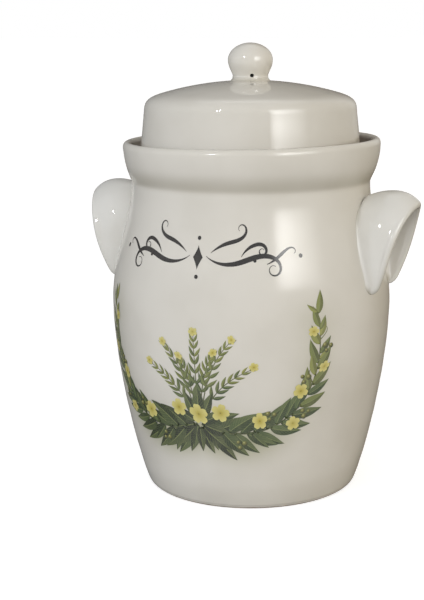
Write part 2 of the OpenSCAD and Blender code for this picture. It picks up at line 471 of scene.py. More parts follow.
def group(name: str, inputs: dict[str, str], outputs: dict[str, str]) -> tuple[Sheet, Callable, Callable]:
    """Start a shader node group.

    Args:
        name: Name of the group.
        inputs: Socket types of its inputs by name.
        outputs: Socket types of its outputs by name.

    Returns:
        The group's sheet, a way to read an input and a way to set an output.
    """
    tree = bpy.data.node_groups.new(name, "ShaderNodeTree")
    sheet = Sheet(tree)
    for label, kind in inputs.items():
        tree.interface.new_socket(label, in_out="INPUT", socket_type=kind)
    for label, kind in outputs.items():
        tree.interface.new_socket(label, in_out="OUTPUT", socket_type=kind)
    source = tree.nodes.new("NodeGroupInput")
    target = tree.nodes.new("NodeGroupOutput")
    return (sheet, lambda label: source.outputs[label],
            lambda label, socket: tree.links.new(socket, target.inputs[label]))


FLOAT, COLOUR, VECTOR = "NodeSocketFloat", "NodeSocketColor", "NodeSocketVector"


class Effects:
    """Shader groups that several finishes share, each built once."""

    def __init__(self) -> None:
        """Build the groups."""
        self.glaze = self.glaze_tone()
        self.clay = self.clay_grain()
        self.ink = self.ink_wear()

    @staticmethod
    def glaze_tone() -> bpy.types.NodeTree:
        """Glaze over clay: cloudy tone, thick and thin places, painted shade in the thick glaze's colour,
        iron specks and a soft waviness.

        Returns:
            The group: slow and fine noise shift the glaze towards its thick and thin colours, a value per
                point adds
            painted shade in the thick colour, a threshold on a cell pattern makes the specks, and slow, fine
            and ring-shaped noises add up to the height.
        """
        sheet, read, write = group(
            "glaze_tone",
            {"Where": VECTOR, "Glaze": COLOUR, "Pooled": COLOUR, "Thin": COLOUR, "Speck": COLOUR,
             "Pool": FLOAT, "Edge": FLOAT, "Roughness": FLOAT},
            {"Colour": COLOUR, "Roughness": FLOAT, "Height": FLOAT})
        slow = sheet.noise(read("Where"), 22.0, 3.0)
        fine = sheet.noise(read("Where"), 260.0, 2.0)
        cloud = sheet.rise(slow, 0.35, 0.75)
        # share of the thick glaze's colour: cloudy noise plus a value per point that also carries painted
        # shade
        pooled = sheet.math("MULTIPLY_ADD", cloud, 0.16, read("Pool"))
        colour = sheet.mix(sheet.math("MINIMUM", pooled, 1.0), read("Glaze"), read("Pooled"))
        thin = sheet.math("MULTIPLY", read("Edge"), sheet.math("MULTIPLY_ADD", fine, 0.6, 0.5))
        colour = sheet.mix(sheet.math("MINIMUM", thin, 1.0), colour, read("Thin"))
        cells = sheet.add("ShaderNodeTexVoronoi", {"Vector": read("Where"), "Scale": 110.0})
        rare = sheet.rise(sheet.noise(read("Where"), 47.0, 0.0), 0.66, 0.72)
        dot = sheet.math("SUBTRACT", 1.0, sheet.rise(cells.outputs["Distance"], 0.03, 0.055))
        specks = sheet.math("MULTIPLY", sheet.math("MULTIPLY", dot, rare), 0.55)
        write("Colour", sheet.mix(specks, colour, read("Speck")))
        smear = sheet.math("MULTIPLY_ADD", sheet.noise(read("Where"), 60.0, 3.0), 0.07, -0.035)
        write("Roughness", sheet.math("ADD", read("Roughness"), smear))
        wave = sheet.math("MULTIPLY", sheet.noise(read("Where"), 55.0, 1.0), 0.8)
        flat = sheet.add("ShaderNodeMapping", {"Vector": read("Where"), "Scale": (6.0, 6.0, 520.0)})
        rings = sheet.noise(flat.outputs[0], 1.0, 1.0)
        write("Height", sheet.math("ADD", sheet.math("MULTIPLY_ADD", fine, 0.03, wave),
                                   sheet.math("MULTIPLY", rings, 0.06)))
        return sheet.tree

    @staticmethod
    def clay_grain() -> bpy.types.NodeTree:
        """Bare fired clay: sandy grain, small pits and dark grog.

        Returns:
            The group: fine noise mixes two clay tones, cell patterns add grog and pits.
        """
        sheet, read, write = group(
            "clay_grain", {"Where": VECTOR, "Clay": COLOUR, "Dark": COLOUR},
            {"Colour": COLOUR, "Roughness": FLOAT, "Height": FLOAT})
        patch = sheet.noise(read("Where"), 45.0, 4.0)
        sand = sheet.noise(read("Where"), 900.0, 3.0)
        share = sheet.math("MULTIPLY_ADD", sand, 0.5, sheet.math("MULTIPLY_ADD", patch, 0.8, -0.4))
        colour = sheet.mix(sheet.rise(share, 0.05, 0.75), read("Clay"), read("Dark"))
        grog = sheet.add("ShaderNodeTexVoronoi", {"Vector": read("Where"), "Scale": 330.0})
        grain = sheet.math("SUBTRACT", 1.0, sheet.rise(grog.outputs["Distance"], 0.10, 0.22))
        write("Colour", sheet.mix(sheet.math("MULTIPLY", grain, 0.45), colour, read("Dark")))
        write("Roughness", sheet.math("MULTIPLY_ADD", sand, 0.25, 0.66))
        write("Height", sheet.math("MULTIPLY_ADD", grain, -0.5, sand))
        return sheet.tree

    @staticmethod
    def ink_wear() -> bpy.types.NodeTree:
        """Printed ceramic colour: fine raster and patchy density over the glaze.

        Returns:
            The group: slow noise thins the ink a little and fine noise grains it.
        """
        sheet, read, write = group(
            "ink_wear", {"Where": VECTOR, "Ink": COLOUR, "Faded": COLOUR, "Fade": FLOAT},
            {"Colour": COLOUR, "Roughness": FLOAT})
        slow = sheet.rise(sheet.noise(read("Where"), 90.0, 3.0), 0.4, 0.8)
        grain = sheet.rise(sheet.noise(read("Where"), 1500.0, 1.0), 0.35, 0.75)
        share = sheet.math("MULTIPLY", read("Fade"), sheet.math("MULTIPLY_ADD", grain, 0.5, slow))
        write("Colour", sheet.mix(share, read("Ink"), read("Faded")))
        write("Roughness", sheet.math("MULTIPLY_ADD", grain, 0.04, 0.13))
        return sheet.tree


def new_material(name: str) -> tuple[bpy.types.Material, Sheet, bpy.types.NodeSocket]:
    """Start a node material.

    Args:
        name: Name of the material.

    Returns:
        The material, its emptied sheet and the socket of the Object coordinates.
    """
    material = bpy.data.materials.new(name)
    material.use_nodes = True
    sheet = Sheet(material.node_tree)
    return material, sheet, sheet.add("ShaderNodeTexCoord").outputs["Object"]


def show(sheet: Sheet, shader: bpy.types.NodeSocket) -> None:
    """Link a shader to the material's output."""
    sheet.feed(sheet.add("ShaderNodeOutputMaterial").inputs["Surface"], shader)


@dataclass(frozen=True)
class GlazeFinish:
    """Cream glaze that runs off a bare foot ring and carries the print's soft wash, with painted shade in the
    gutter, along the foot, in the groove under the collar, in the handles' creases and inside the vent.
    """

    name: str
    glaze: Colour = srgb(214, 210, 201)
    # colour of thick glaze, also used for painted shade under the collar and at the handles' roots
    pooled: Colour = srgb(172, 166, 150)
    thin: Colour = srgb(217, 212, 202)
    speck: Colour = srgb(150, 136, 116)
    # painted shade colour for the gutter and the foot's lower edge
    stain: Colour = srgb(118, 106, 94)
    wash: Colour = srgb(146, 146, 104)
    clay: Colour = srgb(158, 144, 126)
    clay_dark: Colour = srgb(118, 104, 88)
    # painted shade: near black for the inside of the vent
    vent: Colour = srgb(22, 19, 16)
    roughness: float = 0.12
    waviness: float = 0.00006

    def material(self, effects: Effects) -> bpy.types.Material:
        """Build the material.

        Args:
            effects: Shared shader groups.

        Returns:
            Glaze mixed with bare clay by the mesh's own mask, under one glossy shader.
        """
        material, sheet, where = new_material(self.name)
        glaze = sheet.add("ShaderNodeGroup", {
            "Where": where, "Glaze": self.glaze, "Pooled": self.pooled, "Thin": self.thin,
            "Speck": self.speck, "Pool": sheet.value("pool"), "Edge": sheet.value("edge"),
            "Roughness": self.roughness}, node_tree=effects.glaze)
        clay = sheet.add("ShaderNodeGroup", {"Where": where, "Clay": self.clay, "Dark": self.clay_dark},
                         node_tree=effects.clay)
        bare = sheet.rise(sheet.math("ADD", sheet.value("bare"), sheet.math(
            "MULTIPLY_ADD", sheet.noise(where, 160.0), 0.5, -0.25)), 0.42, 0.58)
        colour = sheet.mix(sheet.value("wash"), glaze.outputs["Colour"], self.wash)
        # painted shade: darkens the gutter and the foot's lower edge
        colour = sheet.mix(sheet.value("stain"), colour, self.stain)
        colour = sheet.mix(bare, colour, clay.outputs["Colour"])
        # painted shade inside the vent
        colour = sheet.mix(sheet.value("vent"), colour, self.vent)
        rough, height = (
            sheet.add("ShaderNodeMix", {0: bare, 2: glaze.outputs[label], 3: clay.outputs[label]}).outputs[0]
            for label in ("Roughness", "Height"))
        bump = sheet.add("ShaderNodeBump", {"Strength": 1.0, "Distance": self.waviness, "Height": height})
        shader = sheet.add("ShaderNodeBsdfPrincipled", {
            "Base Color": colour, "Roughness": rough, "IOR": GLAZE_IOR, "Normal": bump.outputs["Normal"]})
        show(sheet, shader.outputs["BSDF"])
        return material


@dataclass(frozen=True)
class ClayFinish:
    """Bare buff clay of the weight stones."""

    name: str
    clay: Colour = srgb(214, 200, 172)
    dark: Colour = srgb(178, 158, 126)
    wear: float = 0.35
    grain: float = 0.00012

    def material(self, effects: Effects) -> bpy.types.Material:
        """Build the material.

        Args:
            effects: Shared shader groups.

        Returns:
            Matt clay with the shared grain, rubbed to its paler tone along the edges.
        """
        material, sheet, where = new_material(self.name)
        clay = sheet.add("ShaderNodeGroup", {"Where": where, "Clay": self.clay, "Dark": self.dark},
                         node_tree=effects.clay)
        rubbed = sheet.math("MULTIPLY", sheet.value("edge"), self.wear)
        worn = sheet.mix(rubbed, clay.outputs["Colour"], self.clay)
        bump = sheet.add("ShaderNodeBump", {
            "Strength": 0.8, "Distance": self.grain, "Height": clay.outputs["Height"]})
        shader = sheet.add("ShaderNodeBsdfPrincipled", {
            "Base Color": worn, "Roughness": clay.outputs["Roughness"], "Normal": bump.outputs["Normal"]})
        show(sheet, shader.outputs["BSDF"])
        return material


@dataclass(frozen=True)
class PrintFinish:
    """Printed ceramic colour under a thin gloss; a tone value picks the ink from its stops."""

    name: str
    stops: tuple[tuple[float, Colour], ...]
    faded: Colour
    fade: float = 0.25
    rib: Optional[Colour] = None

    def material(self, effects: Effects) -> bpy.types.Material:
        """Build the material.

        Args:
            effects: Shared shader groups.

        Returns:
            Ink by tone; with a rib colour, the pattern's own coordinates (u along, v across) draw a
            midrib, slanting veins, a lit and a shaded half and a paler tip.
        """
        material, sheet, where = new_material(self.name)
        colour = sheet.ramp(sheet.value("tone"), self.stops)
        if self.rib is not None:
            along, across, _ = sheet.split(sheet.add("ShaderNodeUVMap").outputs["UV"])
            side = sheet.math("MULTIPLY_ADD", across, 2.0, -1.0)
            off = sheet.math("ABSOLUTE", side)
            lit = sheet.rise(side, -0.25, 0.35)
            shade = sheet.mix(0.42, colour, BLACK)
            light = sheet.mix(sheet.math("MULTIPLY_ADD", along, 0.22, 0.04), colour, self.rib)
            colour = sheet.mix(lit, shade, light)
            wave = sheet.math("SINE", sheet.math("SUBTRACT", sheet.math("MULTIPLY", along, 62.0),
                                                 sheet.math("MULTIPLY", off, 13.0)))
            vein = sheet.math("MULTIPLY", sheet.rise(wave, 0.72, 1.0), 0.22)
            colour = sheet.mix(vein, colour, self.rib)
            rib = sheet.math("SUBTRACT", 1.0, sheet.rise(off, 0.03, 0.12))
            colour = sheet.mix(sheet.math("MULTIPLY", rib, 0.5), colour, self.rib)
        ink = sheet.add("ShaderNodeGroup", {
            "Where": where, "Ink": colour, "Faded": self.faded, "Fade": self.fade}, node_tree=effects.ink)
        shader = sheet.add("ShaderNodeBsdfPrincipled", {
            "Base Color": ink.outputs["Colour"], "Roughness": ink.outputs["Roughness"], "IOR": GLAZE_IOR})
        show(sheet, shader.outputs["BSDF"])
        return material


def place(piece: bpy.types.Object, body: Body, slot: Slot, node: Optional[str] = None) -> bpy.types.Object:
    """Let a piece ride on its body and stand for its solid.

    Args:
        piece: The piece.
        body: Body that it rides on.
        slot: Material slot of the record; not used.
        node: Solid that it replaces, if any.

    Returns:
        The piece.
    """
    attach(piece, body.value)
    if node is not None:
        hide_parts(node)
    LOG.info("%s: %d faces, rides on %s", piece.name, len(piece.data.polygons), body.value)
    return piece


def angle_from(angle: Array, start: float) -> Array:
    """Angle counted from a start, between minus and plus half a turn."""
    return (angle - start + np.pi) % (2 * np.pi) - np.pi


@dataclass
class Crock:
    """Barrel, collar, gutter and neck, turned as one piece of clay."""

    foot_r: float = 73.0
    belly_r: float = 97.0
    belly_h: float = 130.0
    waist_r: float = 82.25
    waist_h: float = 212.0
    collar_r: float = 89.0
    collar_h: float = 237.0
    crest_up: float = 4.0
    foot_pull: tuple[float, float] = (6.5, 10.0)
    belly_pulls: tuple[float, float] = (48.0, 32.0)
    waist_pulls: tuple[float, float] = (25.0, 4.0)
    collar_pull: float = 15.0
    rim_t: float = 6.0
    wall: float = 7.5
    floor_t: float = 10.0
    foot_ring_w: float = 10.0
    foot_hollow: float = 3.0
    foot_edge: float = 2.0
    foot_round: float = 2.2
    floor_round: float = 9.0
    mouth_r: float = 60.0
    neck_wall: float = 6.0
    neck_h: float = 243.0
    gutter_h: float = 220.0
    gutter_wall_r: float = 80.5
    gutter_round: float = 2.5
    slump: float = 1.4
    slump_at: float = math.radians(-66.0)
    slump_spread: float = 0.62
    rim_tilt: float = 0.014
    rim_high_at: float = math.radians(112.0)
    rim_reach: float = 20.0
    bare_h: tuple[float, float] = (0.6, 2.2)
    # painted contact shadow along the foot: its strength and the heights over which it fades out
    foot_shade: float = 0.7
    foot_shade_h: tuple[float, float] = (1.0, 3.8)
    # painted shade in the gutter: a mean share and an extra share that deepens it on the right
    gutter_shade: tuple[float, float] = (0.77, 0.13)
    columns: int = 224
    finish: GlazeFinish = GlazeFinish("body_glaze", roughness=0.16)

    def __post_init__(self) -> None:
        """Work out the outside once, because print and handles lie on it."""
        belly, waist = (self.belly_r, self.belly_h), (self.waist_r, self.waist_h)
        self.barrel: Array = chain(
            curved((self.foot_r, 0), (self.foot_r + self.foot_pull[0], self.foot_pull[1]),
                   (self.belly_r, self.belly_h - self.belly_pulls[0]), belly, 64),
            curved(belly, (self.belly_r, self.belly_h + self.belly_pulls[1]),
                   (self.waist_r, self.waist_h - self.waist_pulls[0]), waist, 48))
        self.outside: Array = chain(self.barrel, curved(
            waist, (self.waist_r, self.waist_h + self.waist_pulls[1]),
            (self.collar_r, self.collar_h - self.collar_pull), (self.collar_r, self.collar_h), 30))

    def side_r(self, z: Array) -> Array:
        """Radius of the smooth outside at a height."""
        return np.interp(z, self.outside[:, 1], self.outside[:, 0])

    def sway(self, angle: Array, z: Array) -> Array:
        """Hand-made unevenness of the outside.

        Args:
            angle: Angles round the axis.
            z: Heights.

        Returns:
            A slight oval, three soft flats and slow throwing rings that wander with the angle, faded
            out towards the foot and the crest, and a place on the left where the collar slumped inwards.
        """
        rings = 0.05 * np.sin(2 * np.pi * z / 26.0 + 1.4 * np.sin(angle)) \
            + 0.035 * np.sin(2 * np.pi * z / 15.0 + 2.0 * np.cos(angle + 0.6))
        oval = 0.20 * np.cos(2 * angle - 0.9) + 0.10 * np.sin(3 * angle + 1.3) + 0.05 * np.sin(7 * angle)
        dents = 0.09 * np.sin(9 * angle + z / 9.0) * smoothstep(z, 208.0, 226.0)
        beside = angle_from(angle, self.slump_at) / self.slump_spread
        slump = self.slump * np.exp(-beside ** 2) * smoothstep(z, 212.0, 228.0)
        small = (rings + oval + dents) * smoothstep(z, 2.0, 16.0) * (1.0 - smoothstep(z, 233.0, 240.0))
        return small - slump

    def on_wall(self, angle: Array, z: Array, lift: Array) -> Array:
        """Points on the outside, lifted off it.

        Args:
            angle: Angles round the axis.
            z: Heights.
            lift: Distance from the wall along the radius.

        Returns:
            x = r sin a, y = -r cos a, z, with r the uneven radius plus the lift.
        """
        r = self.side_r(z) + self.sway(angle, z) + lift
        return np.stack([r * np.sin(angle), -r * np.cos(angle), z], -1)

    def outline(self) -> tuple[Array, Array, Array, Array]:
        """Outline of the whole crock from the foot's middle over the crest to the floor's middle.

        Returns:
            The points, how far each follows the outside's unevenness, a mask of the bare foot and a
            mask of the gutter.
        """
        hollow_r, land_r = self.foot_r - self.foot_ring_w, self.foot_r - self.foot_round
        shoulder = self.outside[self.outside[:, 1] > self.foot_edge]
        foot = chain(
            line((0, self.foot_hollow), (hollow_r - self.foot_hollow, self.foot_hollow), 10),
            line((hollow_r - self.foot_hollow, self.foot_hollow), (hollow_r, 0), 5),
            line((hollow_r, 0), (land_r, 0), 5),
            curved((land_r, 0), (self.foot_r - 0.4, 0), (self.foot_r + 0.4, 0.5), shoulder[0], 8))
        neck_r = self.mouth_r + self.neck_wall
        g, c = self.gutter_round, self.gutter_h
        edge_h = self.neck_h - self.neck_wall / 2
        ceiling = c - self.wall
        throat_h = ceiling - 2 * self.wall
        throat_r = float(self.side_r(throat_h)) - self.wall
        top = chain(
            arc((self.collar_r - self.rim_t / 2, self.collar_h), self.rim_t / 2, self.crest_up, 0, 180, 22),
            line((self.collar_r - self.rim_t, self.collar_h), (self.gutter_wall_r, c + g), 10),
            arc((self.gutter_wall_r - g, c + g), g, g, 0, -90, 6),
            line((self.gutter_wall_r - g, c), (neck_r + g, c), 6),
            arc((neck_r + g, c + g), g, g, 270, 180, 6),
            line((neck_r, c + g), (neck_r, edge_h), 8),
            arc((neck_r - self.neck_wall / 2, edge_h), self.neck_wall / 2, self.neck_wall / 2, 0, 180, 14),
            line((self.mouth_r, edge_h), (self.mouth_r, c), 8),
            curved((self.mouth_r, c), (self.mouth_r, ceiling - self.wall / 2), (throat_r, ceiling),
                   (throat_r, throat_h), 16))
        wall = (self.barrel + self.wall * left_of(tangents(self.barrel)))[::-2]
        corner_h = self.floor_t + self.floor_round
        wall = wall[(wall[:, 1] < throat_h - 1) & (wall[:, 1] > corner_h + 1)]
        corner_r = float(self.side_r(corner_h)) - self.wall
        flat_r = corner_r - self.floor_round
        floor = chain(
            curved((corner_r, corner_h),
                   (corner_r - self.floor_round / 6, self.floor_t + self.floor_round / 2),
                   (flat_r + self.floor_round / 3, self.floor_t), (flat_r, self.floor_t), 10),
            line((flat_r, self.floor_t), (0, self.floor_t), 12))
        points = chain(foot, shoulder, top, wall, floor)
        at = np.arange(len(points))
        past = at - (len(foot) + len(shoulder))  # counted in points from the collar's top on
        outer = (at >= len(foot) - 1) * (1.0 - smoothstep(past, 6.0, 30.0))
        gutter = smoothstep(past, 12.0, 18.0) * (1.0 - smoothstep(past, 52.0, 60.0))
        bare = np.where(at < len(foot) + 2, 1.0 - smoothstep(points[:, 1], *self.bare_h), 0.0)
        bare = np.where(at < len(foot) - 10, 1.0, bare)
        return points, outer, bare, gutter

    def shade(self, points: Array) -> Array:
        """Painted shade in the groove and on the collar's underside above it, in the thick glaze's colour: a
        hump of height, steep at its foot.
        """
        z = points[:, 1] - self.waist_h
        return 0.55 * smoothstep(z, -1.5, 3.5) * (1.0 - smoothstep(z, 3.5, 15.0))

    def build(self, effects: Effects, wash: Callable[[Array, Array], Array]) -> bpy.types.Object:
        """Turn the crock and dress it.

        Args:
            effects: Shared shader groups.
            wash: Strength of the print's soft wash at an angle and a height.

        Returns:
            The body piece.
        """
        points, outer, bare, gutter = self.outline()
        angles = np.linspace(0.0, 2 * np.pi, self.columns, endpoint=False)
        inner = slice(1, -1)
        z = points[inner, 1:]
        swell = self.sway(angles, z) * outer[inner, None]
        collar = np.abs(points[inner, :1] - self.gutter_wall_r) < self.rim_reach
        rim = collar * smoothstep(z, self.gutter_h, self.collar_h)
        lift = self.rim_tilt * points[inner, :1] * np.cos(angles - self.rim_high_at) * rim
        shell = turned(points, angles, swell, lift)
        bend = bend_of(points)
        tint = wash(angles[None, :], z) * outer[inner, None]
        # painted contact shadow along the foot's lower edge
        foot_shadow = self.foot_shade * (1.0 - smoothstep(z, *self.foot_shade_h)) * (outer[inner, None] > 0.5)
        # painted shade in the gutter, deeper on the right-hand side
        mean, more = self.gutter_shade
        stain = np.maximum((mean + more * np.sin(angles)) * gutter[inner, None], foot_shadow)
        shell.values = {
            "edge": spread_round(0.4 * smoothstep(bend, 0.08, 0.32), self.columns),
            # painted shade under the collar
            "pool": spread_round(self.shade(points) * (outer > 0.5), self.columns),
            "stain": np.r_[stain.ravel(), 0.0, 0.0],
            "bare": spread_round(bare, self.columns),
            "wash": np.r_[tint.ravel(), 0.0, 0.0]}
        piece = shell.to_object("body_shell", self.finish.material(effects))
        return place(piece, Body.CROCK, Slot.GLAZE, "crock_body")


@dataclass
class HoodHandle:
    """Hooded ear: a strap of clay bent over an arch, deep at its crown and fading into two legs."""

    side: Side
    crock: Crock
    width: float = 49.0
    mid_h: float = 159.0
    rise: float = 44.0
    sweep: float = math.radians(113.0)
    reach: float = 37.0
    leg_reach: float = 1.0
    wall: float = 6.0
    fade: float = 1.12
    swell: float = 0.28
    swell_power: float = 0.5
    turn_in: float = 0.36
    turn_power: float = 4.3
    flare: float = 0.70
    flare_power: float = 8.0
    puff: float = 0.21
    end_sweep: float = math.radians(9.0)
    root_sink: float = 4.0
    fillet: float = 3.0
    crease: float = 0.5
    arch_points: int = 183
    flank_points: int = 40
    sunk_points: int = 3
    # painted light: the body's glaze, lightened and cooled for the handles' brightly lit flanks
    finish: GlazeFinish = GlazeFinish("handle_glaze", glaze=srgb(219, 217, 211), roughness=0.05)

    def bulge(self, crown: Array, u: Array) -> Array:
        """Rise of the hood off a straight line, as a share of its reach.

        Args:
            crown: Cosine of the arch angle where it is positive, otherwise 0.
            u: Share of the way out from the wall.

        Returns:
            At the crown an early swell minus a late turn down; at the sides a pillow, four u times
            one minus u, and a late flare outwards.
        """
        over = crown * (self.swell * u ** self.swell_power - self.turn_in * u ** self.turn_power)
        side = self.flare * u ** self.flare_power + self.puff * 4.0 * u * (1.0 - u)
        return over + (1.0 - crown) * side

    @staticmethod
    def root_curve(flank: Array, radius: Array) -> tuple[Array, Array]:
        """Fillet between the strap and the wall.

        Args:
            flank: Distances from the wall.
            radius: Radius of the fillet in each row.

        Returns:
            The fillet's spread, radius times one minus the root of one minus n squared, and n itself,
            which falls from 1 at the wall to 0 at the fillet's end.
        """
        near = np.clip(1.0 - np.maximum(flank, 0.0) / np.maximum(radius, TINY), 0.0, 1.0)
        return radius * (1.0 - np.sqrt(1.0 - near * near)), near

    def section(self, a: Array) -> tuple[Array, Array, Array]:
        """Closed section of the strap at each arch angle.

        Args:
            a: Arch angles, one row each.

        Returns:
            Distance from the wall, distance along the arch's normal, and how much of the point is root. The
            strap's thickness turns with its slope towards the lip, so that the rounded edge runs on from it.
        """
        v = np.clip((np.abs(a) - self.sweep + self.end_sweep) / self.end_sweep, 0.0, 1.0)
        shrink = np.sqrt(1.0 - v ** 3)
        q = (1.0 - np.cos(a)) / (1.0 - math.cos(self.sweep))
        half = self.wall / 2 * shrink
        hood = self.reach - self.wall / 2 - self.leg_reach
        lip = (self.leg_reach + hood * (1.0 - q ** self.fade)) * shrink
        reach = lip + half
        crown = np.maximum(0.0, np.cos(a))
        w = np.linspace(0.0, 1.0, self.flank_points)[None, :]
        sunk = self.root_sink * np.linspace(-1.0, 0.0, self.sunk_points + 1)[None, :-1]
        flank = np.hstack([np.broadcast_to(sunk, (len(a), self.sunk_points)), lip * w ** 1.7])
        lean = reach * self.bulge(crown, np.maximum(flank, 0.0) / np.maximum(reach, TINY)) - self.wall / 2
        limit = (0.5 * lip + 0.7) * np.sqrt(shrink)
        side = smoothstep(np.abs(a), math.radians(16.0), math.radians(44.0))
        soft = self.crease + (self.fillet - self.crease) * side
        outer, outer_near = self.root_curve(flank, np.minimum(soft, limit))
        inner, inner_near = self.root_curve(flank, np.minimum(self.fillet, limit))
        slope = np.arctan2(lean[:, -1:] - lean[:, -3:-2], np.maximum(flank[:, -1:] - flank[:, -3:-2], TINY))
        turn = slope * crown * np.hstack([0.0 * sunk, smoothstep(w, 0.45, 1.0)])
        b = np.radians(np.linspace(90.0, -90.0, 17))[None, 1:-1] + turn[:, -1:]
        round_d = lip + half * np.cos(b)
        round_s = lean[:, -1:] + half * np.sin(b)
        off_d, off_s = -half * np.sin(turn), half * np.cos(turn)
        out = np.hstack([flank + off_d, round_d, (flank - off_d)[:, ::-1]])
        over = np.hstack([lean + off_s + outer, round_s, (lean - off_s - inner)[:, ::-1]])
        root = np.hstack([outer_near, 0.0 * round_d, inner_near[:, ::-1]])
        return out, over, root

    def surface(self) -> Surface:
        """Carry the section along the arch.

        Returns:
            Points at base + n s in the plane of the arch and at the wall's X plus the section's distance.
            The base is an ellipse, n its normal; near the root the wall's X is taken under the
            point itself, so that the fillet runs out along the wall.
        """
        t = np.linspace(-1.0, 1.0, self.arch_points)
        a = (self.sweep * (0.55 * np.sin(t * np.pi / 2) + 0.45 * t))[:, None]
        out, over, root = self.section(a)
        base_y = self.width / 2 * np.sin(a)
        base_z = self.mid_h + self.rise * np.cos(a)
        n_y, n_z = np.sin(a) / (self.width / 2), np.cos(a) / self.rise
        size = np.hypot(n_y, n_z)
        y = base_y + n_y / size * over
        z = base_z + n_z / size * over
        base_x = np.sqrt(self.crock.side_r(base_z) ** 2 - base_y ** 2)
        under_x = np.sqrt(self.crock.side_r(z) ** 2 - y ** 2)
        near = 1.0 - smoothstep(out, 0.0, 2.0 * self.fillet)
        x = base_x + near * (under_x - base_x) + out - 0.15 * near
        grid = np.stack([self.side.value * x, y, z], -1)
        end = out.max(1, keepdims=True)
        tip = smoothstep(out - 0.9 * end, -1.0, 2.5)
        lip = smoothstep(out / np.maximum(end, TINY), 0.93, 1.0) * (out > 4.0)
        shell = Surface(grid.reshape(-1, 3), grid_quads(*x.shape, wrap=True))
        crown = 1.0 - smoothstep(np.abs(a), math.radians(35.0), math.radians(70.0))
        ends = smoothstep(np.abs(a), self.sweep - math.radians(13.0), self.sweep - math.radians(3.0))
        # painted shade: a dark crease where the crown meets the wall and a contact shadow under the legs'
        # ends
        shell.values = {"edge": (0.3 * lip * tip).ravel(),
                        "pool": (root * np.maximum(0.8 * crown, ends)).ravel()}
        return shell

    def build(self, effects: Effects) -> bpy.types.Object:
        """Make the handle and put it on the crock.

        Args:
            effects: Shared shader groups.

        Returns:
            The handle, with its coinciding points merged.
        """
        name = self.side.name.lower()
        piece = self.surface().to_object(f"handle_{name}", self.finish.material(effects), weld=True)
        return place(piece, Body.CROCK, Slot.GLAZE, f"{name}_handle")


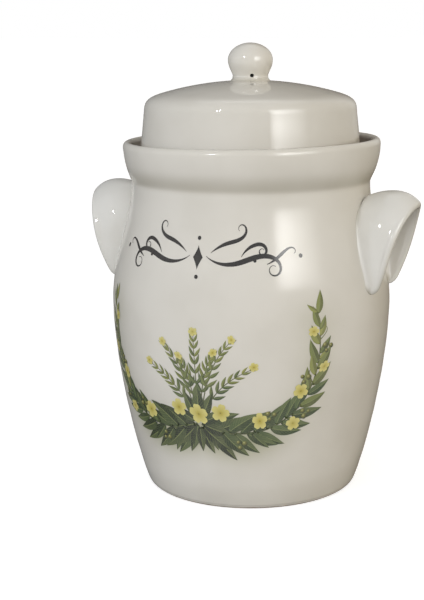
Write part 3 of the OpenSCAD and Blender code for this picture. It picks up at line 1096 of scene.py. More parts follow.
@dataclass
class Lid:
    """Domed lid with a tapered skirt and two gas notches."""

    skirt_in_r: float = 70.0
    skirt_r: float = 76.0
    skirt_taper: float = 3.5
    wall: float = 6.0
    foot_h: float = 220.0
    shoulder_h: float = 262.0
    shoulder_in: float = 7.0
    shoulder_up: float = 8.5
    shoulder_pull: float = 0.72
    soften: float = 5.5
    dome_rise: float = 10.0
    land_r: float = 13.25
    pull: float = 14.0
    notch_r: float = 4.5
    notch_fade: float = 16.0
    lip: float = 2.4
    finish: GlazeFinish = GlazeFinish("lid_glaze", roughness=0.025, waviness=0.00002)

    def __post_init__(self) -> None:
        """Work out the dome's sphere and the land under the knob."""
        self.edge_r: float = self.skirt_r - self.skirt_taper - self.shoulder_in
        self.top_h: float = self.shoulder_h + self.shoulder_up + self.dome_rise
        self.dome_r: float = (self.edge_r ** 2 + self.dome_rise ** 2) / (2 * self.dome_rise)
        self.land_h: float = self.top_h - self.dome_r + math.sqrt(self.dome_r ** 2 - self.land_r ** 2)

    def face(self, r: float, bend_h: float, cap_r: float, edge_r: float, end_r: float) -> Array:
        """One face of the lid from the skirt's foot to the dome.

        Args:
            r: Radius of the skirt's foot.
            bend_h: Height at which the shoulder starts.
            cap_r: Radius of the dome's sphere.
            edge_r: Radius of the dome's edge; it starts to bend a little before that.
            end_r: Radius at which it ends.

        Returns:
            Outline of a skirt curve, a shoulder curve and an arc of the sphere.
        """
        bend = np.array([r - self.skirt_taper, bend_h])
        centre = np.array([0.0, self.top_h - self.dome_r])
        start_r = edge_r - self.soften
        tilt = math.asin(start_r / cap_r)
        edge = centre + cap_r * np.array([math.sin(tilt), math.cos(tilt)])
        pull = (bend[0] - start_r) * self.shoulder_pull
        skirt = curved((r, self.foot_h), (r, self.foot_h + self.pull),
                       bend + (self.skirt_taper / 3, -self.pull), bend, 40)
        shoulder = curved(bend, bend + (-self.skirt_taper / 6, (edge[1] - bend_h) / 2),
                          edge + pull * np.array([1.0, -math.tan(tilt)]), edge, 30)
        stop = 90.0 - math.degrees(math.asin(end_r / cap_r))
        return chain(skirt, shoulder, arc(centre, cap_r, cap_r, 90.0 - math.degrees(tilt), stop, 36))

    def outline(self) -> Array:
        """Outline of the whole lid.

        Returns:
            Points from the inside's crown, down round the skirt's lip and up to the land under the knob.
        """
        inside = self.face(self.skirt_in_r, self.shoulder_h - self.wall / 2, self.dome_r - self.wall,
                           self.edge_r - self.wall, 0.0)[::-2]
        outside = self.face(self.skirt_r, self.shoulder_h, self.dome_r, self.edge_r, self.land_r)
        foot = self.foot_h + self.lip
        lip = arc(((self.skirt_in_r + self.skirt_r) / 2, foot), self.wall / 2, self.lip, 180, 360, 14)
        crown = np.array([[0.0, inside[0, 1]]])
        return chain(crown, inside[1:][inside[1:, 1] > foot], lip, outside[outside[:, 1] > foot],
                     line((self.land_r, self.land_h), (0.0, self.land_h), 4))

    def surface(self) -> Surface:
        """Turn the lid, with the notches as a local rise of the skirt's foot.

        Returns:
            The turned outline; a column at distance x from the notch's axis is lifted by the height
            of a half circle at x, less and less up the skirt. Columns crowd at the notches.
        """
        mid_r = (self.skirt_in_r + self.skirt_r) / 2
        cut = np.arcsin(self.notch_r * np.sin(np.linspace(-np.pi / 2, np.pi / 2, 21)) / mid_r)
        angles = np.unique(np.round(np.r_[np.linspace(0, 2 * np.pi, 200, endpoint=False),
                                          cut % (2 * np.pi), cut + np.pi], 7))
        outline = self.outline()
        x = mid_r * np.sin(angles)
        rise = np.sqrt(np.maximum(0.0, self.notch_r ** 2 - x * x))
        z = outline[1:-1, 1:]
        share = np.clip(1.0 - (z - self.foot_h) / self.notch_fade, 0.0, 1.0)
        oval = 0.14 * np.cos(2 * angles + 0.4) + 0.05 * np.sin(5 * angles)
        rings = 0.03 * np.sin(2 * np.pi * z / 19.0 + 1.2 * np.sin(angles))
        low = 1.0 - smoothstep(z, self.shoulder_h, self.shoulder_h + 6.0)
        shell = turned(outline, angles, (oval + rings) * low, rise * share)
        bend = bend_of(outline)
        cols = len(angles)
        # the second value darkens the glaze in the concave bends, partly as thick glaze and partly as painted
        # shade
        shell.values = {"edge": spread_round(smoothstep(bend, 0.10, 0.35), cols),
                        "pool": spread_round(0.5 * smoothstep(-bend, 0.02, 0.15), cols)}
        return shell

    def build(self, effects: Effects) -> bpy.types.Object:
        """Make the lid's shell."""
        piece = self.surface().to_object("lid_shell_glazed", self.finish.material(effects))
        return place(piece, Body.LID, Slot.GLAZE, "lid_shell")


@dataclass
class Knob:
    """Hollow ball knob with its firing vent, stuck on the lid."""

    lid: Lid
    foot_r: float = 13.25
    neck_r: float = 12.0
    ball_r: float = 15.25
    height: float = 25.4
    top: float = 11.6
    neck_up: float = 3.0
    vent_d: float = 2.6
    vent_up: float = 0.8
    vent_turn: float = math.radians(27.0)
    vent_depth: float = 4.0
    columns: int = 96
    neck_rows: int = 40
    window: int = 5
    finish: GlazeFinish = GlazeFinish("knob_glaze", roughness=0.035, waviness=0.00004)

    def outline(self) -> Array:
        """Outline from the flared foot over neck and ball to the crown, in even steps.

        Returns:
            Points of three curves, with two thin beads of clay round the foot where the knob was stuck on.
        """
        foot_h = self.lid.land_h
        neck_h, top = foot_h + self.neck_up, self.top
        ball_h = foot_h + self.height - top
        rough = chain(
            curved((self.foot_r + 0.9, foot_h - 0.12), (self.foot_r - 0.2, foot_h + 0.25),
                   (self.neck_r, neck_h - 1.6), (self.neck_r, neck_h), 40),
            curved((self.neck_r, neck_h), (self.neck_r, neck_h + 2.5), (self.ball_r, ball_h - 5.0),
                   (self.ball_r, ball_h), 60),
            arc((0.0, ball_h), self.ball_r, top, 0, 90, 60))
        length = run_of(rough)
        even = np.linspace(0.0, length[-1], 110)
        r, z = np.interp(even, length, rough[:, 0]), np.interp(even, length, rough[:, 1])
        beads = sum(0.22 * np.exp(-((z - foot_h - up) / 0.42) ** 2) for up in (1.0, 2.5))
        return np.column_stack([r + beads, z])

    def surface(self) -> Surface:
        """Turn the knob and open the vent in a window of its grid.

        Returns:
            The turned grid without the quads of the window, rings that lead from the window's edge to
            the vent's circle on the same surface, and the vent's tube with a closed end.
        """
        outline = self.outline()
        cols, span = self.columns, self.window
        step = 2 * np.pi / cols
        angles = self.vent_turn + step * np.arange(cols)
        ball = turned(np.vstack([(0.0, outline[0, 1]), outline]), angles)
        vent_h = self.lid.land_h + self.neck_up + self.vent_up
        neck = outline[:self.neck_rows]
        mid = int(np.argmin(np.abs(neck[:, 1] - vent_h)))
        row_of = ball.quads[:, 0] // cols
        col_of = (ball.quads[:, 0] % cols + cols // 2) % cols - cols // 2
        hit = (np.abs(row_of + 0.5 - mid) < span) & (np.abs(col_of + 0.5) < span)
        ball.quads = ball.quads[~hit]
        edge = np.arange(-span, span)
        loop_c = np.r_[edge, np.full(2 * span, span), -edge, np.full(2 * span, -span)]
        loop_r = np.r_[np.full(2 * span, -span), edge, np.full(2 * span, span), -edge]
        index = (mid + loop_r) * cols + loop_c % cols
        length = run_of(outline)
        mid_r = np.interp(vent_h, neck[:, 1], neck[:, 0])
        mid_s = np.interp(vent_h, neck[:, 1], length[:self.neck_rows])
        far = np.column_stack([loop_c * step * mid_r, length[mid + loop_r] - mid_s])
        way = far / np.linalg.norm(far, axis=1, keepdims=True)
        hole = self.vent_d / 2
        share = np.linspace(0.0, 1.0, 9)[1:, None, None]
        flat = far + share * (way * hole - far)
        s = mid_s + flat[..., 1]
        r, z = np.interp(s, length, outline[:, 0]), np.interp(s, length, outline[:, 1])
        turn = self.vent_turn + flat[..., 0] / mid_r
        rings = np.stack([r * np.sin(turn), -r * np.cos(turn), z], -1)
        inward = np.array([-math.sin(self.vent_turn), math.cos(self.vent_turn), 0.0])
        centre = np.array([-mid_r * inward[0], -mid_r * inward[1], vent_h])
        depth = np.array([0.18, 0.5, 1.2, self.vent_depth])[:, None, None]
        tight = np.array([0.93, 0.88, 0.86, 0.84])[:, None, None]
        tube = centre + (rings[-1] - centre) * tight + depth * inward
        count = len(ball.points)
        loops = np.vstack([rings, tube])
        n = len(index)
        ids = np.vstack([index, count + np.arange(len(loops) * n).reshape(-1, n)])
        around = np.column_stack([ids, ids[:, :1]])
        quads = index_quads(around)
        pole = count + len(loops) * n
        cap = np.column_stack([np.full(n, pole), around[-1, :-1], around[-1, 1:]])
        end = centre + self.vent_depth * inward
        z_all = np.r_[ball.points[:, 2], loops[..., 2].ravel(), vent_h]
        # painted shade: the vent's tube turns near black inwards, standing for the darkness of a deep hole
        dark = np.r_[np.zeros(count + (len(rings) - 1) * n), np.full(n, 0.25), np.full(n, 0.7),
                     np.ones((len(tube) - 1) * n + 1)]
        # darker glaze towards the knob's foot, where it meets the lid
        low = smoothstep(self.lid.land_h + 3.4 - z_all, 0.0, 3.0)
        return Surface(np.vstack([ball.points, loops.reshape(-1, 3), end]), np.vstack([ball.quads, quads]),
                       np.vstack([ball.tris, cap]), {"vent": dark, "pool": 0.55 * low})

    def build(self, effects: Effects) -> bpy.types.Object:
        """Make the knob."""
        piece = self.surface().to_object("knob_ball", self.finish.material(effects))
        return place(piece, Body.LID, Slot.GLAZE, "lid_knob")


@dataclass
class WeightStone:
    """Half-round weight stone of bare clay on the crock's floor."""

    side: Side
    radius: float = 65.3
    gap: float = 4.0
    floor_h: float = 10.0
    thick: float = 18.0
    edge: float = 4.0
    corner: float = 5.0
    sag: float = 0.26
    middle: float = 0.45
    face_rings: int = 7
    flat_points: int = 31
    finish: ClayFinish = ClayFinish("stone_clay")

    def rim(self) -> tuple[Array, Array]:
        """Outline of the half disc with rounded corners, and its outward directions.

        Returns:
            Points and unit normals of a large arc, a corner, the straight side and a corner.
        """
        c, flat = self.corner, self.gap / 2
        reach = self.radius - c
        high = math.sqrt(reach ** 2 - (flat + c) ** 2)
        lean = math.degrees(math.atan2(high, flat + c))
        count = self.flat_points
        turns = (np.linspace(-lean, lean, 97), np.linspace(lean, 180.0, 13), np.full(count, 180.0),
                 np.linspace(180.0, 360.0 - lean, 13))
        normal = [np.column_stack([np.cos(np.radians(a)), np.sin(np.radians(a))]) for a in turns]
        points = [self.radius * normal[0],
                  np.array([flat + c, high]) + c * normal[1],
                  np.column_stack([np.full(count, flat), np.linspace(high, -high, count)]),
                  np.array([flat + c, -high]) + c * normal[3]]
        return np.vstack([p[:-1] for p in points]), np.vstack([n[:-1] for n in normal])

    def surface(self) -> Surface:
        """Rings of the outline moved inwards and up, closed at a pole on each face.

        Returns:
            A quarter-round edge at the bottom, the side, a quarter-round edge at the top, and faces
            that shrink to the middle, with slow lumps from pressing by hand.
        """
        rim, normal = self.rim()
        low, high = self.floor_h, self.floor_h + self.thick
        a = np.radians(np.linspace(0.0, 90.0, 7))
        inset = np.r_[self.edge * (1 - np.sin(a)), 0.0, self.edge * (1 - np.sin(a[::-1]))]
        height = np.r_[low + self.edge * (1 - np.cos(a)), (low + high) / 2,
                       high - self.edge * (1 - np.cos(a[::-1]))]
        rings = rim[None] - inset[:, None, None] * normal[None]
        middle = np.array([self.radius * self.middle, 0.0])
        shrink = np.linspace(0.1, 1.0, self.face_rings + 1)[:-1, None, None]
        face = middle + (rings[0] - middle) * shrink
        plane = np.vstack([face, rings, face[::-1]])
        z = np.r_[np.full(self.face_rings, low), height, np.full(self.face_rings, high)]
        rows, cols = plane.shape[:2]
        x, y = plane[..., 0], plane[..., 1]
        lumps = 0.16 * np.sin(x / 9.0 + 1.0) * np.cos(y / 11.0) + 0.10 * np.sin(x / 4.5 - y / 6.0)
        top = smoothstep(z, low + 2.0, high)[:, None]
        grid = np.stack([self.side.value * x, y, z[:, None] + (lumps * top - self.sag * top)], -1)
        pole_x = self.side.value * middle[0]
        poles = np.array([[pole_x, 0.0, low], [pole_x, 0.0, high - self.sag]])
        flat = np.zeros(self.face_rings)
        worn = np.r_[flat, np.sin(2 * a), 0.0, np.sin(2 * a[::-1]), flat]
        stone = Surface(np.vstack([grid.reshape(-1, 3), poles]), grid_quads(rows, cols, wrap=True),
                        pole_tris(rows, cols), {"edge": np.r_[np.repeat(worn, cols), 0.0, 0.0]})
        return stone if self.side is Side.RIGHT else stone.flipped()

    def build(self, effects: Effects) -> bpy.types.Object:
        """Make the stone and let it ride on its own body.

        Args:
            effects: Shared shader groups.

        Returns:
            The stone.
        """
        name = self.side.name.lower()
        body = Body.STONE_RIGHT if self.side is Side.RIGHT else Body.STONE_LEFT
        piece = self.surface().to_object(f"stone_{name}", self.finish.material(effects))
        return place(piece, body, Slot.CLAY, f"weight_stone_{name}")


def scroll(start: Point, heading: float, length: float, bends: Sequence[tuple[float, float]],
           hand: float, steps: int) -> Array:
    """A pen stroke whose curvature changes along its way.

    Args:
        start: First point.
        heading: First direction in radians.
        length: Length of the stroke.
        bends: Shares of the way with the curvature there, per millimetre.
        hand: 1 turns as given, -1 mirrors the turning.
        steps: Number of steps.

    Returns:
        Points: the direction is the sum of the curvature, the place the sum of the directions.
    """
    t = np.linspace(0.0, 1.0, steps + 1)
    step = length / steps
    bend = np.interp(t, [b[0] for b in bends], [b[1] for b in bends])
    turn = heading + hand * np.r_[0.0, np.cumsum((bend[1:] + bend[:-1]) / 2 * step)]
    mid = (turn[1:] + turn[:-1]) / 2
    x = start[0] + np.r_[0.0, np.cumsum(np.cos(mid) * step)]
    y = start[1] + np.r_[0.0, np.cumsum(np.sin(mid) * step)]
    return np.column_stack([x, y])


LEAF_INKS = ((0.0, srgb(24, 37, 27)), (0.45, srgb(60, 82, 46)), (1.0, srgb(158, 158, 78)))
PALE_LEAF = srgb(152, 160, 100)


@dataclass
class Garland:
    """Printed half wreath of leaves, blossoms and berries on the front of the belly."""

    crock: Crock
    print_r: float = 95.0
    start: tuple[float, float] = (1.5, 63.0)
    pull_low: tuple[float, float] = (42.0, 47.0)
    pull_high: tuple[float, float] = (94.0, 68.0)
    tip: tuple[float, float] = (79.0, 140.0)
    leaves: int = 30
    leaf_length: float = 27.0
    leaf_share: float = 0.36
    sprig_tips: tuple[tuple[float, float], ...] = (
        (-37.0, 101.0), (-24.0, 116.0), (-12.0, 108.0), (-1.0, 125.0), (12.0, 112.0), (24.0, 121.0),
        (38.0, 103.0))
    stem_lift: float = 0.03
    leaf_lift: float = 0.06
    berry_lift: float = 0.23
    blossom_lift: float = 0.26
    layers: int = 31
    leaf_step: float = 0.005
    stroke_step: float = 0.004
    blossom_step: float = 0.004
    berry_step: float = 0.001
    sprig_pairs: int = 7
    wash_drop: float = 7.0
    wash_spread: float = 9.0
    leaf_ink: PrintFinish = PrintFinish("garland_leaf_print", LEAF_INKS, srgb(150, 156, 110), 0.18, PALE_LEAF)
    stem_ink: PrintFinish = PrintFinish(
        "garland_stem_print", ((0.0, srgb(44, 54, 32)), (1.0, srgb(96, 102, 56))), srgb(160, 160, 120))
    petal_ink: PrintFinish = PrintFinish(
        "garland_petal_print",
        ((0.0, srgb(96, 84, 28)), (0.28, srgb(176, 160, 58)), (1.0, srgb(212, 203, 126))),
        srgb(205, 200, 150), 0.2)
    berry_ink: PrintFinish = PrintFinish(
        "garland_berry_print",
        ((0.0, srgb(206, 204, 150)), (0.3, srgb(128, 126, 60)), (1.0, srgb(52, 58, 38))),
        srgb(120, 120, 80), 0.15)

    def branch(self, t: Array, sign: float) -> tuple[Array, Array]:
        """Points and directions of one branch.

        Args:
            t: Shares of the way along the branch.
            sign: Side of the branch, 1 or -1.

        Returns:
            Places on the unrolled wall, as width and height, and unit directions along the branch.
        """
        t = np.asarray(t, float)[:, None]
        marks = (self.start, self.pull_low, self.pull_high, self.tip)
        a, b, c, d = (np.array(p) * (sign, 1.0) for p in marks)
        s = 1.0 - t
        way = 3 * (s * s * (b - a) + 2 * s * t * (c - b) + t * t * (d - c))
        return cubic(t, a, b, c, d), way / np.linalg.norm(way, axis=1, keepdims=True)

    def sprig(self, t: Array, tip: tuple[float, float]) -> tuple[Array, Array]:
        """Points and directions of one thin stem of the fan.

        Args:
            t: Shares of the way along the stem.
            tip: Its end on the flat print.

        Returns:
            A quadratic curve from the branches' foot that leaves it upright, and its directions.
        """
        t = np.asarray(t, float)[:, None]
        a, d = np.array([0.06 * tip[0], self.start[1] + 2.0]), np.array(tip)
        b = np.array([0.30 * tip[0], a[1] + 0.72 * (d[1] - a[1])])
        s = 1.0 - t
        way = s * (b - a) + t * (d - b)
        return s * s * a + 2 * s * t * b + t * t * d, way / np.linalg.norm(way, axis=1, keepdims=True)

    def wash(self, angle: Array, z: Array) -> Array:
        """Strength of the soft colour under the print.

        Args:
            angle: Angles round the axis.
            z: Heights.

        Returns:
            A bell curve of the distance to the branches, strongest at the bottom middle.
        """
        width, height = np.broadcast_arrays(angle_from(angle, 0.0) * self.print_r, z)
        path = np.vstack([self.branch(np.linspace(0, 1, 40), s)[0] for s in MIRRORED])
        near = np.full(width.shape, np.inf)
        for p, q in path:
            near = np.minimum(near, (width - p) ** 2 + (height - q + self.wash_drop) ** 2)
        weight = 0.85 - 0.65 * smoothstep(np.abs(width), 15.0, 85.0)
        return weight * np.exp(-near / (2 * self.wash_spread ** 2))

    def to_wall(self, flat: Array, lift: Array) -> Array:
        """Roll places on the flat print onto the wall."""
        return self.crock.on_wall(flat[..., 0] / self.print_r, flat[..., 1], lift)

    def leaf_sheets(self, base: Array, way: Array, length: Array, share: Array, curl: Array, tone: Array,
                    lift: Array) -> Surface:
        """Leaves as one sheet each.

        Args:
            base: Place of each leaf's foot.
            way: Direction of each leaf.
            length: Length of each leaf.
            share: Width as a share of the length.
            curl: Sideways bend of each leaf.
            tone: Ink tone of each leaf.
            lift: Height of each leaf over the wall.

        Returns:
            A grid per leaf: the midline bends with the square of the way along, and the half width
            follows a sine that is pulled towards the foot and pointed at the tip.
        """
        t = np.linspace(0.0, 1.0, 21)
        s = np.linspace(-1.0, 1.0, 7)
        side = left_of(way)
        mid = base[:, None] + length[:, None, None] * (
            t[None, :, None] * way[:, None] + (curl[:, None] * t ** 2)[..., None] * side[:, None])
        run = way[:, None] + (2 * curl[:, None] * t)[..., None] * side[:, None]
        cross = left_of(run / np.linalg.norm(run, axis=2, keepdims=True))
        half = np.sin(np.pi * t ** 0.82) ** 0.92 * (1.0 - 0.25 * t)
        width = 0.5 * (length * share)[:, None] * half
        flat = mid[:, :, None] + (width[..., None] * s)[..., None] * cross[:, :, None]
        count = len(base)
        points = self.to_wall(flat, np.broadcast_to(lift[:, None, None], flat.shape[:3]))
        uv = np.stack(np.broadcast_arrays(t[:, None], (s[None, :] + 1) / 2), -1).reshape(-1, 2)
        return Surface(points.reshape(-1, 3), grid_quads(len(t), len(s), count=count),
                       values={"tone": np.repeat(tone, len(t) * len(s))},
                       uv=np.tile(uv, (count, 1))).outward()

    def leaf_surface(self) -> Surface:
        """Place the leaves along both branches and round their foot.

        Returns:
            Leaves left and right of each branch by turns, shorter and paler towards the tip, a shorter
            second set between them, pairs of small leaves on the sprigs, and a dark rosette where all meet.
        """
        rng = np.random.default_rng(SEED)
        sets = []
        rows = ((self.leaves, 0.02, 1.0, 1.0), (self.leaves // 2 + 4, 0.0, 0.68, 1.35))
        for sign in MIRRORED:
            for count, low, size, open_by in rows:
                t = np.clip(np.linspace(low, 0.985, count) + rng.normal(0, 0.006, count), 0.0, 1.0)
                point, way = self.branch(t, sign)
                hand = np.resize(MIRRORED, count)
                turn = hand * open_by * np.radians(46.0 - 16.0 * t) + rng.normal(0, 0.10, count)
                long = self.leaf_length * size * (1.0 - 0.50 * t) * (1.0 + rng.normal(0, 0.08, count))
                tone = np.clip(0.08 + 0.72 * t + 0.18 * (1.0 - size) + rng.normal(0, 0.09, count), 0.0, 1.0)
                share = np.full(count, self.leaf_share)
                sets.append((point, spun(way, turn), long, share, -0.16 * hand, tone))
        t = np.repeat(np.linspace(0.34, 0.95, self.sprig_pairs), 2)
        hand = np.resize(MIRRORED, len(t))
        for tip in self.sprig_tips:
            point, way = self.sprig(t, tip)
            turn = hand * np.radians(52.0 - 22.0 * t) + rng.normal(0, 0.08, len(t))
            tone = np.clip(0.30 + 0.55 * t + rng.normal(0, 0.10, len(t)), 0.0, 1.0)
            sets.append((point, spun(way, turn), 11.5 - 6.0 * t, np.full(len(t), 0.30), -0.2 * hand, tone))
        angle = np.radians(np.array([200, 226, 250, 272, 292, 315, 338, 20, 160, 62, 118, 90], float))
        far = np.array([22, 25, 21, 18, 21, 25, 22, 20, 20, 21, 21, 24], float)
        foot = np.column_stack([3.0 * np.cos(angle), 64.0 + 3.0 * np.sin(angle)])
        tone = np.clip(0.06 + 0.1 * np.sin(angle), 0.0, 1.0) + 0.02
        sets.append((foot, np.column_stack([np.cos(angle), np.sin(angle)]), far,
                     np.full(len(angle), 0.40), 0.12 * np.cos(angle), tone))
        parts = [np.concatenate(p) for p in zip(*sets)]
        layer = np.arange(len(parts[0])) * 7 % self.layers
        return self.leaf_sheets(*parts, self.leaf_lift + self.leaf_step * layer)

    def ribbons(self, strokes: Sequence[tuple[Array, Array, float]], lift: float) -> Surface:
        """Strips of ink along paths.

        Args:
            strokes: Points of each path on the flat print, its width at each point and its ink tone.
            lift: Height over the wall.

        Returns:
            Three columns per path: its left edge, its middle and its right edge.
        """
        parts = []
        for k, (path, width, tone) in enumerate(strokes):
            side = left_of(tangents(path))
            flat = path[:, None] + side[:, None] * (width[:, None] * np.array([-0.5, 0.0, 0.5]))[..., None]
            points = self.to_wall(flat, np.full(flat.shape[:2], lift + self.stroke_step * k))
            parts.append(Surface(points.reshape(-1, 3), grid_quads(len(path), 3),
                                 values={"tone": np.full(3 * len(path), tone)}))
        return Surface.joined(parts).outward()

    def stem_surface(self) -> Surface:
        """Draw the stems.

        Returns:
            Both branches, tapering, with a curled tendril here and there, and the sprigs' thin stems.
        """
        strokes = []
        for sign in MIRRORED:
            t = np.linspace(0.0, 0.99, 90)
            strokes.append((self.branch(t, sign)[0], 1.7 - 1.1 * t, 0.25))
            for at, hand in ((0.30, 1.0), (0.52, -1.0), (0.72, 1.0), (0.9, -1.0)):
                foot, way = self.branch(np.array([at]), sign)
                heading = math.atan2(way[0, 1], way[0, 0]) + sign * hand * 0.9
                curl = scroll(foot[0], heading, 19.0 - 8.0 * at, ((0.0, 0.02), (0.4, 0.05), (1.0, 0.62)),
                              -sign * hand, 50)
                strokes.append((curl, np.linspace(0.8, 0.35, 51), 0.8))
        t = np.linspace(0.0, 1.0, 50)
        strokes += [(self.sprig(t, tip)[0], 0.9 - 0.5 * t, 0.5) for tip in self.sprig_tips]
        return self.ribbons(strokes, self.stem_lift)

    def blossom_places(self) -> tuple[Array, Array]:
        """Spread the blossoms over the flat print.

        Returns:
            Middles and sizes of those at the foot, beside both branches and on the sprigs' tips.
        """
        rng = np.random.default_rng(SEED + 1)
        places = [np.array([[0.0, 70.0], [-15.0, 73.0], [15.5, 72.0]])]
        sizes = [np.array([8.0, 6.4, 6.6])]
        for sign in MIRRORED:
            t = np.array([0.34, 0.50, 0.66, 0.80, 0.93])
            point, way = self.branch(t, sign)
            off = left_of(way) * sign * np.array([[6.5], [-6.0], [6.5], [-5.0], [4.5]])
            places.append(point + off + rng.normal(0, 0.5, off.shape))
            sizes.append(np.array([6.2, 5.4, 5.4, 4.6, 4.0]))
        places.append(np.array(self.sprig_tips) + (0.0, 1.2))
        sizes.append(np.full(len(self.sprig_tips), 3.3))
        return np.vstack(places), np.concatenate(sizes)

    def patches(self, flat: Array, lift: Array, shade: Array) -> Surface:
        """Equal patches of ink on the wall.

        Args:
            flat: Grid of places on the flat print for each patch.
            lift: Height of each patch over the wall.
            shade: Ink tone on the grid, the same for every patch.

        Returns:
            One surface with all the patches.
        """
        count, rows, cols = flat.shape[:3]
        points = self.to_wall(flat, np.broadcast_to(lift[:, None, None], flat.shape[:3]))
        return Surface(points.reshape(-1, 3), grid_quads(rows, cols, count=count),
                       values={"tone": np.tile(shade.ravel(), count)}).outward()

    def blossom_surface(self) -> Surface:
        """Five-petalled blossoms.

        Returns:
            For each a grid over radius and angle: the rim's distance is a rounded five-fold cosine
            with a small notch in each petal, and the tone grows from the middle to the rim.
        """
        centre, size = self.blossom_places()
        rng = np.random.default_rng(SEED + 2)
        turn = rng.uniform(0, 2 * np.pi, len(size))
        squash = rng.uniform(0.72, 1.0, len(size))
        q = np.linspace(0.02, 1.0, 9)
        a = np.linspace(0, 2 * np.pi, 71)
        fold = np.abs(np.cos(2.5 * a))
        rim = 0.42 + 0.58 * fold ** 0.7 - 0.10 * smoothstep(fold, 0.93, 1.0)
        r = q[:, None] * (0.35 + 0.65 * rim * q[:, None] + 0.35 * (rim - 1.0) * (1 - q[:, None]))
        x = size[:, None, None] * r * np.cos(a)
        y = (size * squash)[:, None, None] * r * np.sin(a)
        c, s = np.cos(turn)[:, None, None], np.sin(turn)[:, None, None]
        flat = np.stack([centre[:, 0, None, None] + c * x - s * y,
                         centre[:, 1, None, None] + s * x + c * y], -1)
        lift = self.blossom_lift + self.blossom_step * np.arange(len(size))
        return self.patches(flat, lift, q[:, None] * (0.80 + 0.2 * fold))

    def berry_surface(self) -> Surface:
        """Berries in threes along the branches.

        Returns:
            For each a grid over radius and angle: a disc, darker with the distance from a light spot.
        """
        places = []
        for sign in MIRRORED:
            t = np.array([0.22, 0.42, 0.58, 0.73, 0.87])
            point, way = self.branch(t, sign)
            foot = point + left_of(way) * sign * np.array([[-8.0], [7.5], [-7.0], [6.5], [-5.5]])
            for turn, far in ((0.3, 2.6), (2.5, 2.4), (4.4, 2.5)):
                places.append(foot + far * np.array([math.cos(turn * sign), math.sin(turn * sign)]))
        centre = np.vstack(places)
        size = 1.9 - 0.25 * (np.arange(len(centre)) % 3)
        q, a = np.linspace(0.02, 1.0, 5), np.linspace(0, 2 * np.pi, 25)
        x, y = q[:, None] * np.cos(a), q[:, None] * np.sin(a)
        flat = centre[:, None, None] + size[:, None, None, None] * np.stack([x, y], -1)
        shade = np.clip(np.hypot(x + 0.35, y - 0.4) / 1.25, 0.0, 1.0)
        return self.patches(flat, self.berry_lift + self.berry_step * np.arange(len(size)), shade)

    def build(self, effects: Effects) -> list[bpy.types.Object]:
        """Make every printed piece of the garland.

        Args:
            effects: Shared shader groups.

        Returns:
            Stems, leaves, blossoms and berries.
        """
        jobs = (("garland_stems", self.stem_surface(), self.stem_ink),
                ("garland_leaves", self.leaf_surface(), self.leaf_ink),
                ("garland_blossoms", self.blossom_surface(), self.petal_ink),
                ("garland_berries", self.berry_surface(), self.berry_ink))
        return [place(surface.to_object(name, ink.material(effects)), Body.CROCK, Slot.GLAZE)
                for name, surface, ink in jobs]


@dataclass
class Flourish:
    """Black pen ornament under the waist: a lozenge between two mirrored scrolls."""

    garland: Garland
    middle_h: float = 173.0
    lift: float = 0.05
    tone: float = 0.2
    ink: PrintFinish = PrintFinish("flourish_print", ((0.0, srgb(30, 28, 27)), (1.0, srgb(44, 41, 38))),
                                   srgb(92, 88, 84), 0.22)

    def strokes(self, sign: float) -> list[tuple[Array, Array]]:
        """Strokes of one half.

        Args:
            sign: Side of the half, 1 or -1.

        Returns:
            Paths with their widths; each swells like a pen pressed in the middle of its stroke.
        """
        plans = (
            ((6.0, 1.0), -38.0, 74.0,
             ((0.0, 0.050), (0.30, 0.030), (0.42, -0.010), (0.62, -0.075), (1.0, -0.40)), 3.0),
            ((9.0, 3.0), 40.0, 40.0, ((0.0, -0.03), (0.35, -0.03), (0.6, 0.10), (1.0, 0.52)), 2.2),
            ((30.0, 1.0), 62.0, 34.0, ((0.0, -0.07), (0.35, -0.06), (1.0, -0.62)), 2.0),
            ((47.0, -3.5), 20.0, 26.0, ((0.0, 0.04), (0.4, 0.02), (0.7, -0.1), (1.0, -0.75)), 1.7))
        strokes = []
        for start, heading, length, bends, width in plans:
            steps = int(length * 2)
            turn = math.radians(heading if sign > 0 else 180.0 - heading)
            path = scroll((start[0] * sign, start[1] + self.middle_h), turn, length, bends, sign, steps)
            t = np.linspace(0.0, 1.0, steps + 1)
            strokes.append((path, 0.35 + width * np.sin(np.pi * t ** 0.8) ** 1.6))
        return strokes

    def lozenge(self) -> tuple[Array, Array]:
        """The lozenge as one stroke from its foot to its top.

        Returns:
            Its path and its widths, which grow towards the middle and leave hollow sides.
        """
        t = np.linspace(0.0, 1.0, 41)
        path = np.column_stack([0.0 * t, self.middle_h - 7.5 + 15.0 * t])
        return path, 0.1 + 7.0 * (1.0 - np.abs(2 * t - 1)) ** 1.35

    def dots(self) -> list[tuple[Array, Array]]:
        """Round dots beside the scrolls, over the lozenge and under it.

        Returns:
            Short strokes with the width of a circle.
        """
        marks = []
        for sign in MIRRORED:
            for x, y, r in ((70.5, 1.0, 1.35), (39.0, -1.2, 1.1), (0.0, 12.0 * sign, 1.3)):
                t = np.linspace(-1.0, 1.0, 17)
                path = np.column_stack([x * sign + r * t, np.full(17, self.middle_h + y)])
                marks.append((path, 2 * r * np.sqrt(np.maximum(0.0, 1.0 - t * t))))
        return marks

    def build(self, effects: Effects) -> bpy.types.Object:
        """Make the ornament.

        Args:
            effects: Shared shader groups.

        Returns:
            One printed piece with the lozenge, both halves and the dots.
        """
        strokes = [self.lozenge(), *self.strokes(1.0), *self.strokes(-1.0), *self.dots()]
        surface = self.garland.ribbons([(*stroke, self.tone) for stroke in strokes], self.lift)
        piece = surface.to_object("scroll_ornament", self.ink.material(effects))
        return place(piece, Body.CROCK, Slot.GLAZE)


